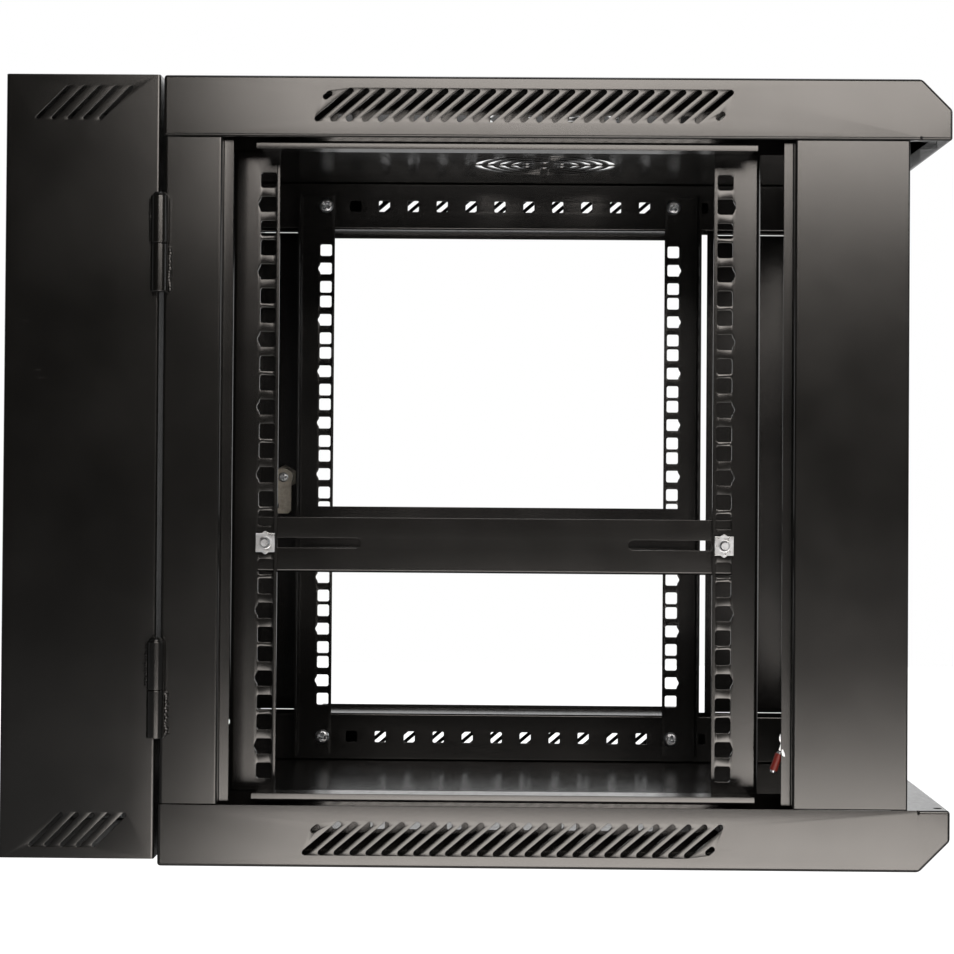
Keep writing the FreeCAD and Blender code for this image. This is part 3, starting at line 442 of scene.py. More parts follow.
@dataclass(frozen=True)
class Moulding:
    """Soft coloured plastic."""

    name: str
    colour: tuple[float, float, float]
    faded: tuple[float, float, float]
    roughness: float = 0.42

    def build(self, effects: Effects) -> bpy.types.Material:
        """Make the material.

        Args:
            effects: The shared node groups.

        Returns:
            The material.
        """
        material, wires, shader = new_material(self.name)
        grain = wires.use(effects.grain, Peel_size=0.8).outputs
        wires.feed(shader, "Base Color", wires.blend(grain["Tone"], opaque(self.colour), opaque(self.faded)))
        wires.feed(shader, "Roughness", wires.math("MULTIPLY_ADD", grain["Tone"], 0.1, self.roughness))
        wires.feed(shader, "Normal", wires.bump(grain["Height"], 0.12, 0.05 * MM))
        return material


class Finishes:
    """Every finish on the cabinet."""

    def __init__(self) -> None:
        """Build the materials."""
        effects = Effects()
        self.coat = PowderCoat("black_powder_coat").build(effects)
        # The weld beads get a stronger painted edge highlight.
        self.weld = PowderCoat("coated_weld", roughness=0.24, relief=0.4, edge_highlight=0.7).build(effects)
        self.zinc = Plating("bright_zinc", (0.66, 0.68, 0.7), (0.55, 0.58, 0.62)).build(effects)
        self.nickel = Plating("dull_nickel", (0.5, 0.47, 0.41), (0.36, 0.34, 0.3), 0.36).build(effects)
        self.red = Moulding("red_sleeve", (0.15, 0.011, 0.007), (0.19, 0.018, 0.01)).build(effects)


# --- Mesh work ---


def publish(shape: bmesh.types.BMesh, name: str, *materials: bpy.types.Material,
            sharp: float = 40.0) -> bpy.types.Object:
    """Turn a bmesh into an object with clean shading.

    Args:
        shape: The bmesh, which is freed.
        name: The object's name.
        materials: Its materials, in the order of the faces' indices.
        sharp: Edges that turn by more degrees stay sharp.

    Returns:
        The object.
    """
    mesh = bpy.data.meshes.new(name)
    shape.to_mesh(mesh)
    shape.free()
    for material in materials:
        mesh.materials.append(material)
    mesh.polygons.foreach_set("use_smooth", [True] * len(mesh.polygons))
    mesh.set_sharp_from_angle(angle=math.radians(sharp))
    piece = bpy.data.objects.new(name, mesh)
    bpy.context.scene.collection.objects.link(piece)
    weighted = piece.modifiers.new("flat_plates", "WEIGHTED_NORMAL")
    weighted.keep_sharp = True
    LOG.info("%s: %d faces", name, len(mesh.polygons))
    return piece


def install(piece: bpy.types.Object, node: str) -> None:
    """Let a piece stand for a CAD node, on the node's own body.

    Args:
        piece: The new piece.
        node: The CAD node.
    """
    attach(piece, OWNERS[node].value)
    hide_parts(node)


def merged_copy(node: str) -> bmesh.types.BMesh:
    """Copy a CAD node's mesh and merge its points.

    Args:
        node: The CAD node.

    Returns:
        The copy.
    """
    shape = bmesh.new()
    shape.from_mesh(frame["nodes"][node].data)
    bmesh.ops.remove_doubles(shape, verts=shape.verts, dist=0.002 * MM)
    return shape


def make_whole(shape: bmesh.types.BMesh) -> None:
    """Take out the edges inside a shape's flat faces."""
    bmesh.ops.dissolve_limit(shape, angle_limit=math.radians(0.5), use_dissolve_boundaries=False,
                             verts=shape.verts, edges=shape.edges)


def plate_copy(node: str) -> bmesh.types.BMesh:
    """Copy a CAD node, merged and with whole faces.

    Args:
        node: The CAD node.

    Returns:
        The copy.
    """
    shape = merged_copy(node)
    make_whole(shape)
    return shape


def clusters(items: Iterable, near: Callable) -> list[list]:
    """Sort items into groups that hang together.

    Args:
        items: The items, such as a shape's faces.
        near: Gives the neighbours of an item, and is told the first item of the group too.

    Returns:
        The groups.
    """
    left, groups = dict.fromkeys(items), []
    while left:
        first = next(iter(left))
        del left[first]
        group, waiting = [], [first]
        while waiting:
            item = waiting.pop()
            group.append(item)
            for other in near(item, first):
                if other in left:
                    del left[other]
                    waiting.append(other)
        groups.append(group)
    return groups


def solids(node: str) -> list[tuple[Vector, Vector]]:
    """The boxes of a CAD node's separate solids.

    Args:
        node: The CAD node.

    Returns:
        The lowest and highest corner of each.
    """
    shape = plate_copy(node)
    boxes = []
    for island in clusters(shape.verts, lambda vertex, _: [edge.other_vert(vertex) for edge in vertex.link_edges]):
        places = [vertex.co for vertex in island]
        boxes.append((Vector(map(min, zip(*places))), Vector(map(max, zip(*places)))))
    shape.free()
    return boxes


def bevel(shape: bmesh.types.BMesh, edges: Iterable, offset: float, segments: int = 2, clamp: bool = True) -> None:
    """Round some edges of a shape.

    Args:
        shape: The shape.
        edges: The edges.
        offset: How far the rounding reaches from each edge.
        segments: Facets across it.
        clamp: Whether it stops where it would meet another one.
    """
    bmesh.ops.bevel(shape, geom=list(edges), offset=offset, offset_type="OFFSET", segments=segments, profile=0.5,
                    affect="EDGES", clamp_overlap=clamp, material=-1)


def points_of(made: Iterable) -> list[bmesh.types.BMVert]:
    """The points among the things that an operator has made."""
    return [item for item in made if isinstance(item, bmesh.types.BMVert)]


def absorb(shape: bmesh.types.BMesh, part: bmesh.types.BMesh) -> None:
    """Add one bmesh to another, and free it.

    Args:
        shape: The bmesh that grows.
        part: The bmesh that is added.
    """
    mesh = bpy.data.meshes.new("part")
    part.to_mesh(mesh)
    part.free()
    shape.from_mesh(mesh)
    bpy.data.meshes.remove(mesh)


class Draft:
    """A bmesh that turned, extruded and rounded shapes are added to, each along its own axis."""

    def __init__(self) -> None:
        """Start empty, at the frame's origin."""
        self.shape = bmesh.new()
        self.matrix = Matrix.Identity(4)
        self.paint = 0

    def stand(self, origin: Vector, axis: Vector, side: Vector = UPWARD) -> "Draft":
        """Put the drawing directions somewhere.

        Args:
            origin: The new origin.
            axis: The direction that becomes local z.
            side: A direction that local x comes close to.

        Returns:
            The draft itself.
        """
        up = axis.normalized()
        if side.cross(up).length < 0.01:
            side = OUTWARD
        across = (side - up * side.dot(up)).normalized()
        self.matrix = Matrix.Translation(origin) @ Matrix((across, up.cross(across), up)).transposed().to_4x4()
        return self

    def _join(self, part: bmesh.types.BMesh) -> None:
        """Add a closed part at the present place, in the present paint.

        Args:
            part: The part, which is freed.
        """
        bmesh.ops.recalc_face_normals(part, faces=part.faces)
        bmesh.ops.transform(part, matrix=self.matrix, verts=part.verts)
        for face in part.faces:
            face.material_index = self.paint
        absorb(self.shape, part)

    def lathe(self, profile: list[tuple[float, float]], steps: int = 32,
              press: Callable[[Vector], float] | None = None) -> None:
        """Turn a profile about local z.

        Args:
            profile: Radius and height of each point, from the first end to the last.
            steps: Facets round the axis.
            press: Gives the rise of a point along the axis, if anything is pressed in.
        """
        part = bmesh.new()
        points = [part.verts.new((radius, 0.0, height)) for radius, height in profile]
        edges = [part.edges.new(pair) for pair in zip(points, points[1:])]
        bmesh.ops.spin(part, geom=points + edges, cent=(0.0, 0.0, 0.0), axis=(0.0, 0.0, 1.0), dvec=(0.0, 0.0, 0.0),
                       angle=math.tau, steps=steps, use_merge=True, use_normal_flip=False, use_duplicate=False)
        bmesh.ops.remove_doubles(part, verts=part.verts, dist=0.001 * MM)
        if press:
            for vertex in part.verts:
                vertex.co.z += press(vertex.co)
        self._join(part)

    def prism(self, outline: list[tuple[float, float]], low: float, high: float, soften: float = 0.0) -> None:
        """Stand an outline up along local z.

        Args:
            outline: Its corners, in order.
            low: The foot's height.
            high: The top's height.
            soften: How far the edges are rounded.
        """
        part = bmesh.new()
        foot = part.faces.new([part.verts.new((x, y, low)) for x, y in outline])
        raised = bmesh.ops.extrude_face_region(part, geom=[foot])["geom"]
        bmesh.ops.translate(part, verts=points_of(raised), vec=(0.0, 0.0, high - low))
        bmesh.ops.recalc_face_normals(part, faces=part.faces)
        if soften:
            bevel(part, part.edges, soften)
        self._join(part)

    def wrap(self, rings: list[Callable[[float], tuple[float, float]]], steps: int) -> None:
        """Draw a closed band out of a circle, ring after ring, and close it on itself.

        Args:
            rings: For each ring, a function from the angle to radius and height.
            steps: Facets round the axis.
        """
        part = bmesh.new()
        bmesh.ops.create_circle(part, segments=steps, radius=1.0, cap_ends=False)
        fresh, edges = list(part.verts), list(part.edges)
        for index, ring in enumerate([*rings, rings[0]]):
            if index:
                drawn = bmesh.ops.extrude_edge_only(part, edges=edges)["geom"]
                fresh = points_of(drawn)
                edges = [item for item in drawn if isinstance(item, bmesh.types.BMEdge)
                         and all(vertex in fresh for vertex in item.verts)]
            for vertex in fresh:
                turn = math.atan2(vertex.co.y, vertex.co.x)
                radius, height = ring(turn)
                vertex.co = (radius * math.cos(turn), radius * math.sin(turn), height)
        bmesh.ops.remove_doubles(part, verts=part.verts, dist=0.001 * MM)
        self._join(part)

    def lump(self, centre: Vector, size: Vector, steps: int = 12) -> None:
        """Add a rounded lump, in the frame's own directions.

        Args:
            centre: Its middle.
            size: Half lengths along X, Y and Z.
            steps: Facets round it.
        """
        part = bmesh.new()
        bmesh.ops.create_uvsphere(part, u_segments=steps, v_segments=steps // 2, radius=1.0)
        bmesh.ops.transform(part, matrix=Matrix.Diagonal((*size, 1.0)), verts=part.verts)
        kept, self.matrix = self.matrix, Matrix.Translation(centre)
        self._join(part)
        self.matrix = kept

    def finish(self, name: str, *materials: bpy.types.Material, sharp: float = 40.0) -> bpy.types.Object:
        """Publish the draft.

        Args:
            name: The object's name.
            materials: Its materials.
            sharp: Edges that turn by more degrees stay sharp.

        Returns:
            The object.
        """
        return publish(self.shape, name, *materials, sharp=sharp)


# --- Sheets ---


CUT_FACE_WIDTH = 1.05  # a cut face is no wider than this many times the sheet's thickness
LEVEL = 0.99999  # faces whose normals agree by this cosine are one flat
CORNER_TURN = 50.0  # degrees; the least turn of a corner or of a cut edge
FOLD_TURN = 30.0  # degrees; the least turn of a fold
FACET_TURN = 4.0  # degrees; the least turn between two facets of a round hole
FLUSH = 0.3  # millimetres; how far from its flat the end of a hole may seem to lie
FILL_ATTEMPTS = 14


@dataclass(frozen=True)
class Sheet:
    """How one CAD sheet is softened; lengths in millimetres."""

    node: str
    gauge: float
    corner: float
    fold: float = 1.8
    rim: float = 0.22


@dataclass
class SheetWork:
    """Copies of the CAD sheets with rounded folds, rounded hole corners and broken edges."""

    finishes: Finishes
    sheets: tuple[Sheet, ...] = (
        Sheet("wall_tray", 1.5, 1.29),
        *(Sheet(f"wall_{level}_cap", 1.5, 1.0) for level in ("top", "bottom")),
        *(Sheet(f"cable_entry_cover_{level}", 1.2, 3.0, 0.0) for level in ("top", "bottom")),
        *(Sheet(f"{level}_cover", 1.2, 1.74, 2.0) for level in ("top", "bottom")),
        *(Sheet(f"{end}_column_{side}", 1.2, 1.0) for end in ("rear", "front") for side in ("near", "far")),
        *(Sheet(f"{level}_beam_{side}", 1.5, 1.2) for level in ("bottom", "top") for side in ("near", "far")),
        *(Sheet(f"{end}_rail_{side}", 2.0, 1.6, 0.0, 0.3) for end in ("rear", "front") for side in ("near", "far")),
        *(Sheet(f"cross_bar_{side}", 1.5, 3.28) for side in ("near", "far")),
    )

    @staticmethod
    def _thin(face: bmesh.types.BMFace, gauge: float) -> bool:
        """Whether a face is a cut face, no wider than the sheet's thickness."""
        return 2 * face.calc_area() < CUT_FACE_WIDTH * gauge * face.calc_perimeter()

    @staticmethod
    def _reach(edge: bmesh.types.BMEdge, face: bmesh.types.BMFace) -> float:
        """How far a face reaches from an edge's line.

        Args:
            edge: The edge.
            face: The face.

        Returns:
            The distance of its farthest corner.
        """
        start = edge.verts[0].co
        along = (edge.verts[1].co - start).normalized()
        offsets = [corner.co - start for corner in face.verts]
        return max((offset - along * offset.dot(along)).length for offset in offsets)

    @staticmethod
    def _round(shape: bmesh.types.BMesh, edges: list, offset: float, segments: int) -> None:
        """Round those of some edges that earlier rounding has left, in full.

        Args:
            shape: The shape.
            edges: The edges.
            offset: How far the rounding reaches.
            segments: Facets across it.
        """
        edges = [edge for edge in edges if edge.is_valid]
        if edges:
            bevel(shape, edges, offset, segments, clamp=False)

    def _creases(self, shape: bmesh.types.BMesh, least: float) -> list[tuple]:
        """The edges that turn by more than an angle.

        Args:
            shape: The sheet.
            least: The angle, in degrees.

        Returns:
            For each, the edge, its length and how far its two faces reach, the nearer one first.
        """
        found = []
        for edge in shape.edges:
            if len(edge.link_faces) == 2 and math.degrees(edge.calc_face_angle(0.0)) > least:
                spans = sorted(self._reach(edge, face) for face in edge.link_faces)
                found.append((edge, edge.calc_length(), spans))
        return found

    @staticmethod
    def _border(faces: Iterable) -> list[bmesh.types.BMEdge]:
        """The edges that some faces share with others, once for each of those faces."""
        members = set(faces)
        return [edge for face in faces for edge in face.edges if not set(edge.link_faces) <= members]

    def _is_hole(self, band: list) -> bool:
        """Tell whether a band of cut faces is the wall of one hole.

        Args:
            band: The faces.

        Returns:
            Whether the band runs round, with a flat at either end.
        """
        rims = dict.fromkeys(self._border(band))
        met = Counter(vertex for edge in rims for vertex in edge.verts)
        if set(met.values()) != {2}:
            return False
        members = set(band)
        normals = [face.normal for edge in rims for face in edge.link_faces if face not in members]
        return all(abs(normals[0].dot(normal)) > 0.999 for normal in normals)

    def _take_out_holes(self, shape: bmesh.types.BMesh, gauge: float) -> bmesh.types.BMesh:
        """Close all holes of a sheet, and keep their walls.

        Args:
            shape: The sheet, which is left without holes and with one face per flat.
            gauge: The sheet's thickness.

        Returns:
            The walls of the holes, as open bands.
        """
        def beside(face: bmesh.types.BMFace, _: object) -> list:
            """The faces that share an edge with a face."""
            return [other for edge in face.edges for other in edge.link_faces]

        def level(face: bmesh.types.BMFace, first: bmesh.types.BMFace) -> list:
            """Those of them that lie level with the group's first face."""
            return [other for other in beside(face, first) if first.normal.dot(other.normal) > LEVEL]

        shape.faces.index_update()
        cut = []
        for flat in clusters(shape.faces, level):
            border = sum(edge.calc_length() for edge in self._border(flat))
            if 2 * sum(face.calc_area() for face in flat) < CUT_FACE_WIDTH * gauge * border:
                cut += flat
        bands = clusters(cut, beside)
        bands.sort(key=lambda band: -sum(face.calc_area() for face in band))
        chosen = {face.index for band in bands[1:] if self._is_hole(band) for face in band}
        walls = shape.copy()
        bmesh.ops.delete(walls, geom=[face for face in walls.faces if face.index not in chosen], context="FACES")
        bmesh.ops.delete(shape, geom=[face for face in shape.faces if face.index in chosen], context="FACES")
        bmesh.ops.edgeloop_fill(shape, edges=[edge for edge in shape.edges if edge.is_boundary])
        bmesh.ops.recalc_face_normals(shape, faces=shape.faces)
        make_whole(shape)
        make_whole(walls)
        return walls

    def _round_holes(self, walls: bmesh.types.BMesh, corner: float) -> None:
        """Round the corners of holes, and fill out the polygons that stand for circles.

        Args:
            walls: The walls of the holes.
            corner: The corners' radius.
        """
        groups = {}
        for edge in walls.edges:
            if edge.is_boundary:
                continue
            turn = math.degrees(edge.calc_face_angle(0.0))
            sides = [rim.calc_length() for vertex in edge.verts for rim in vertex.link_edges if rim.is_boundary]
            fits, sharp = 0.495 * min(sides), turn > CORNER_TURN
            offset = min(corner, fits) if sharp else fits
            if turn > FACET_TURN and offset > 0.08 * MM:
                groups.setdefault((round(offset, 6), 4 if sharp else 3), []).append(edge)
        for (offset, segments), edges in groups.items():
            self._round(walls, edges, offset, segments)

    @staticmethod
    def _break_holes(walls: bmesh.types.BMesh, rim: float) -> None:
        """Chamfer the ends of holes.

        Args:
            walls: The walls of the holes.
            rim: The chamfer's width.
        """
        walls.normal_update()
        moves = {}
        for vertex in walls.verts:
            if vertex.is_boundary:
                through = next(edge for edge in vertex.link_edges if not edge.is_boundary)
                first, last = vertex.link_faces[0].normal, vertex.link_faces[-1].normal
                inward = (through.other_vert(vertex).co - vertex.co).normalized() * rim
                outward = (first + last) * (-rim / (first + last).dot(first))
                moves[vertex] = vertex.co + inward, vertex.co + outward
        ends = [edge for edge in walls.edges if edge.is_boundary]
        drawn = bmesh.ops.extrude_edge_only(walls, edges=ends)["geom"]
        fresh = dict.fromkeys(points_of(drawn))
        for vertex in fresh:
            old = next(edge.other_vert(vertex) for edge in vertex.link_edges if edge.other_vert(vertex) not in fresh)
            vertex.co = moves[old][1]
        for vertex, (place, _) in moves.items():
            vertex.co = place

    def _outline_corners(self, shape: bmesh.types.BMesh, gauge: float, corner: float) -> None:
        """Round the corners of the sheet's outline.

        Args:
            shape: The sheet.
            gauge: Its thickness.
            corner: The corners' largest radius.
        """
        groups = {}
        for edge, length, _ in self._creases(shape, CORNER_TURN):
            if abs(length - gauge) < 0.02 * gauge and all(self._thin(face, gauge) for face in edge.link_faces):
                sides = [rim.calc_length() for vertex in edge.verts for rim in vertex.link_edges if rim is not edge]
                offset = min(0.8 * MM, corner, 0.45 * min(sides))
                groups.setdefault(round(offset, 6), []).append(edge)
        for offset, edges in groups.items():
            self._round(shape, edges, offset, 3)

    def _folds(self, shape: bmesh.types.BMesh, gauge: float, radius: float) -> None:
        """Round the folds, wide outside and tight inside.

        Args:
            shape: The sheet.
            gauge: Its thickness.
            radius: The folds' outer radius.
        """
        wide = 1.4 * gauge
        outer, inner = [], []
        for edge, length, spans in self._creases(shape, FOLD_TURN):
            if spans[0] > wide and length > 3.0 * wide:
                (outer if edge.is_convex else inner).append(edge)
        self._round(shape, outer, radius, 4)
        self._round(shape, inner, max(radius - gauge, 0.3 * MM), 2)

    def _rims(self, shape: bmesh.types.BMesh, gauge: float, rim: float) -> None:
        """Break the cut edges of the outline.

        Args:
            shape: The sheet.
            gauge: Its thickness.
            rim: The chamfer's width.
        """
        thin = 1.3 * gauge
        edges = [edge for edge, _, spans in self._creases(shape, CORNER_TURN) if spans[0] < thin < spans[1]]
        self._round(shape, edges, rim, 1)

    @staticmethod
    def _fill(shape: bmesh.types.BMesh, edges: list, normal: Vector) -> Matrix:
        """Fill a flat with holes, turning the shape until no triangle is missed.

        Args:
            shape: The shape.
            edges: The outline of the flat and of its holes.
            normal: The way the flat faces.

        Returns:
            How the shape was turned.
        """
        turned = Matrix.Identity(4)
        for attempt in range(FILL_ATTEMPTS):
            made = bmesh.ops.triangle_fill(shape, use_beauty=attempt < FILL_ATTEMPTS // 2, use_dissolve=False,
                                           edges=edges, normal=normal)["geom"]
            faces = [item for item in made if isinstance(item, bmesh.types.BMFace)]
            lines = dict.fromkeys([edge for face in faces for edge in face.edges] + edges)
            still_open = sum(len(edge.link_faces) != 2 for edge in lines)
            if not still_open:
                return turned
            if attempt < FILL_ATTEMPTS - 1:
                bmesh.ops.delete(shape, geom=faces, context="FACES_ONLY")
                outline = set(edges)
                stray = [edge for edge in lines if edge not in outline and edge.is_valid and edge.is_wire]
                bmesh.ops.delete(shape, geom=stray, context="EDGES")
                step = Matrix.Rotation(0.7, 4, normal)
                bmesh.ops.transform(shape, matrix=step, verts=shape.verts)
                turned = step @ turned
        LOG.warning("%d edges of a flat stay open", still_open)
        return turned

    def _put_holes_back(self, shape: bmesh.types.BMesh, walls: bmesh.types.BMesh) -> None:
        """Join the walls of the holes to the sheet, and fill the flats round them.

        The filling is done at a larger scale and at an angle, because it takes points that lie
        closer than a fixed distance, or exactly level, for the same.

        Args:
            shape: The sheet without holes.
            walls: The walls of the holes, which are freed.
        """
        bmesh.ops.remove_doubles(shape, verts=shape.verts, dist=0.004 * MM)
        bmesh.ops.dissolve_degenerate(shape, edges=shape.edges, dist=0.004 * MM)
        flats = list(shape.faces)
        absorb(shape, walls)
        enlarged = Matrix.Rotation(0.37, 4, Vector((0.5, 0.7, 0.3))) @ Matrix.Scale(1 / MM, 4)
        bmesh.ops.transform(shape, matrix=enlarged, verts=shape.verts)
        shape.normal_update()
        ends = clusters([edge for edge in shape.edges if edge.is_boundary],
                        lambda edge, _: [other for vertex in edge.verts for other in vertex.link_edges])
        inside = {face: [] for face in flats}
        for loop in ends:
            spot = loop[0].verts[0].co
            for face in flats:
                flush = abs((spot - face.calc_center_median()).dot(face.normal)) < FLUSH
                if flush and bmesh.geometry.intersect_face_point(face, spot):
                    inside[face] += loop
                    break
        for face, loops in inside.items():
            if loops:
                edges, normal = [*face.edges, *loops], face.normal.copy()
                bmesh.ops.delete(shape, geom=[face], context="FACES_ONLY")
                enlarged = self._fill(shape, edges, normal) @ enlarged
                shape.normal_update()
        bmesh.ops.transform(shape, matrix=enlarged.inverted(), verts=shape.verts)
        bmesh.ops.recalc_face_normals(shape, faces=shape.faces)

    def soften(self, sheet: Sheet) -> None:
        """Make the rounded copy of one sheet, and let it stand for the CAD node.

        Args:
            sheet: The sheet's settings.
        """
        gauge, corner, fold, rim = (length * MM for length in (sheet.gauge, sheet.corner, sheet.fold, sheet.rim))
        shape = merged_copy(sheet.node)
        walls = self._take_out_holes(shape, gauge)
        self._round_holes(walls, corner)
        self._break_holes(walls, rim)
        bmesh.ops.connect_verts_concave(shape, faces=[face for face in shape.faces if self._thin(face, gauge)])
        self._outline_corners(shape, gauge, corner)
        if fold:
            self._folds(shape, gauge, fold)
        self._rims(shape, gauge, rim)
        self._put_holes_back(shape, walls)
        install(publish(shape, f"{sheet.node}_sheet", self.finishes.coat), sheet.node)

    def build(self) -> None:
        """Soften every sheet."""
        for sheet in self.sheets:
            self.soften(sheet)


# --- Fasteners ---


@dataclass(frozen=True)
class PanScrew:
    """A pan-head screw with a cross recess; its head stands below local z = 0, its shank above."""

    head: float
    head_height: float
    shank: float
    length: float
    pitch: float = 1.0 * MM

    def _recess(self, point: Vector) -> float:
        """Depth of the cross recess under a point of the head.

        Args:
            point: The point.

        Returns:
            The depth, 0 beside the recess.
        """
        if point.z > -0.55 * self.head_height:
            return 0.0
        near, far = sorted((abs(point.x), abs(point.y)))
        arm = max(0.0, 1.0 - (near / (0.17 * self.head)) ** 4) * max(0.0, 1.0 - (far / (0.58 * self.head)) ** 6)
        return arm * 0.55 * self.head_height

    def draw(self, draft: Draft) -> None:
        """Add the screw at the draft's place.

        Args:
            draft: Where it is drawn.
        """
        head, tall = self.head, self.head_height
        dome = [(0.0, -tall)]
        for step in range(1, 15):
            turn = math.radians(90.0 * step / 14)
            dome.append((head * 0.9 * math.sin(turn), -tall * (0.62 + 0.38 * math.cos(turn))))
        dome += [(head, -0.45 * tall), (head, -0.1 * tall), (0.94 * head, 0.0), (0.0, 0.0)]
        draft.lathe(dome, 40, self._recess)
        thread, height = [(0.0, -0.2 * MM), (self.shank * 0.86, -0.2 * MM)], 0.0
        while height < self.length - 1.2 * self.pitch:
            thread += [(self.shank * 0.86, height + 0.1 * self.pitch), (self.shank, height + 0.5 * self.pitch)]
            height += self.pitch
        draft.lathe([*thread, (self.shank * 0.8, self.length), (0.0, self.length)], 20)


@dataclass(frozen=True)
class HexNut:
    """A chamfered hexagon nut that stands on local z = 0, with flats across local x."""

    across: float
    height: float
    bore: float

    def _reach(self, turn: float) -> float:
        """Distance from the axis to the hexagon at an angle."""
        return self.across / 2 / math.cos((turn + math.pi / 6) % (math.pi / 3) - math.pi / 6)

    def draw(self, draft: Draft) -> None:
        """Add the nut at the draft's place.

        Args:
            draft: Where it is drawn.
        """
        flat, tall = 0.475 * self.across, self.height

        def drop(turn: float) -> float:
            """How far the chamfer has fallen at the hexagon."""
            return (self._reach(turn) - flat) * math.tan(math.radians(28.0))

        draft.wrap(
            [
                lambda turn: (self.bore, 0.5 * MM),
                lambda turn: (self.bore + 0.4 * MM, 0.0),
                lambda turn: (flat, 0.0),
                lambda turn: (self._reach(turn), drop(turn)),
                lambda turn: (self._reach(turn), tall - drop(turn)),
                lambda turn: (flat, tall),
                lambda turn: (self.bore + 0.4 * MM, tall),
                lambda turn: (self.bore, tall - 0.5 * MM),
            ],
            48,
        )


@dataclass(frozen=True)
class CageNut:
    """A nut in a sprung cage of folded sheet; the cage lies on local z = 0, the neck below it."""

    side: float = 12.4 * MM
    depth: float = 4.4 * MM
    tab: float = 1.4 * MM
    neck: float = 9.1 * MM
    skin: float = 0.7 * MM
    web: float = 2.0 * MM

    def _box(self, draft: Draft, x: tuple[float, float], y: tuple[float, float], z: tuple[float, float],
             soften: float) -> None:
        """Add a rounded bar between three pairs of limits."""
        draft.prism([(x[0], y[0]), (x[1], y[0]), (x[1], y[1]), (x[0], y[1])], z[0], z[1], soften)

    def draw(self, draft: Draft) -> None:
        """Add the cage nut at the draft's place, with the tabs along local x.

        Args:
            draft: Where it is drawn.
        """
        half, deep, skin, grip = self.side / 2, self.depth, self.skin, self.neck / 2
        self._box(draft, (-half, half), (-half, half), (deep - skin, deep), 0.28 * MM)
        for sign in (-1.0, 1.0):
            wall = sorted((sign * half, sign * (half - skin)))
            self._box(draft, (-half, half), wall, (0.05 * MM, deep - 0.3 * MM), 0.2 * MM)
            foot = 2.0 * self.tab
            ear = [(half - 1.2 * MM, -foot), (half - 0.2 * MM, -foot), (half + self.tab, -0.3 * MM),
                   (half + self.tab, 0.3 * MM), (half - 0.2 * MM, foot), (half - 1.2 * MM, foot)]
            draft.prism([(sign * x, y) for x, y in ear], deep - 2.2 * skin, deep - skin, 0.15 * MM)
            leg = sorted((sign * grip, sign * (grip - skin)))
            self._box(draft, (-grip, grip), leg, (-self.web, 0.6 * MM), 0.15 * MM)
        nut = 0.78 * half
        self._box(draft, (-nut, nut), (-nut, nut), (0.2 * MM, deep - 1.2 * skin), 0.4 * MM)
        draft.lathe([(3.02 * MM, deep - 0.5 * MM), (3.02 * MM, deep - 0.05 * MM), (3.3 * MM, deep + 0.05 * MM),
                     (3.9 * MM, deep + 0.05 * MM), (4.4 * MM, deep - 0.1 * MM), (4.4 * MM, deep - 0.5 * MM),
                     (3.02 * MM, deep - 0.5 * MM)], 36)


@dataclass
class Fasteners:
    """The screws and nuts on the rails, the cross bars and the cable entries."""

    finishes: Finishes
    large: PanScrew = PanScrew(6.0 * MM, 3.2 * MM, 3.0 * MM, 14.0 * MM)
    small: PanScrew = PanScrew(3.8 * MM, 2.2 * MM, 2.0 * MM, 8.0 * MM, 0.8 * MM)
    hexagon: HexNut = HexNut(10.0 * MM, 5.0 * MM, 3.05 * MM)
    cage: CageNut = CageNut()

    def _screws(self, node: str, first_turn: float) -> None:
        """Machine screws with their heads towards the cabinet's middle.

        Args:
            node: The CAD node.
            first_turn: How far the first recess is turned, in radians.
        """
        draft = Draft()
        for index, (low, high) in enumerate(solids(node)):
            side = math.copysign(1.0, low.x)
            seat = min(abs(low.x), abs(high.x)) + self.large.head_height
            centre = middle(low, high, side * seat)
            spin = Matrix.Rotation(first_turn + 0.9 * index, 3, "X") @ UPWARD
            self.large.draw(draft.stand(centre, OUTWARD * side, spin))
        install(draft.finish(f"{node}_turned", self.finishes.zinc), node)

    def _nuts(self, node: str, name: str, seat_from_tip: float, nut: HexNut | CageNut, side_way: Vector) -> None:
        """Nuts on the rails' or beams' outer faces.

        Args:
            node: The CAD node.
            name: The piece's name.
            seat_from_tip: Distance from the outer end back to the seat.
            nut: The nut.
            side_way: The direction of the nut's local x.
        """
        draft = Draft()
        for low, high in solids(node):
            side = math.copysign(1.0, low.x)
            seat = max(abs(low.x), abs(high.x)) - seat_from_tip
            centre = middle(low, high, side * seat)
            nut.draw(draft.stand(centre, OUTWARD * side, side_way))
        install(draft.finish(name, self.finishes.zinc, sharp=25.0), node)

    def entry_screws(self) -> None:
        """Self-tapping screws in the covers of the cable entries."""
        draft = Draft()
        for index, (low, high) in enumerate(solids("cable_entry_screws")):
            way = math.copysign(1.0, low.z)
            seat = max(abs(low.z), abs(high.z)) - self.small.head_height
            centre = Vector(((low.x + high.x) / 2, (low.y + high.y) / 2, way * seat))
            spin = Matrix.Rotation(0.6 * index, 3, "Z") @ OUTWARD
            self.small.draw(draft.stand(centre, UPWARD * -way, spin))
        install(draft.finish("cable_entry_screws_turned", self.finishes.zinc), "cable_entry_screws")

    def build(self) -> None:
        """Make them all."""
        self._screws("rail_screws", 0.2)
        self._screws("cross_bar_screws", 0.4)
        self._nuts("rail_nuts", "rail_nuts_hexagon", self.hexagon.height, self.hexagon, BACKWARD)
        self._nuts("cross_bar_cage_nuts", "cross_bar_cage_nuts_folded", self.cage.depth, self.cage, UPWARD)
        self.entry_screws()


# --- Hinges ---


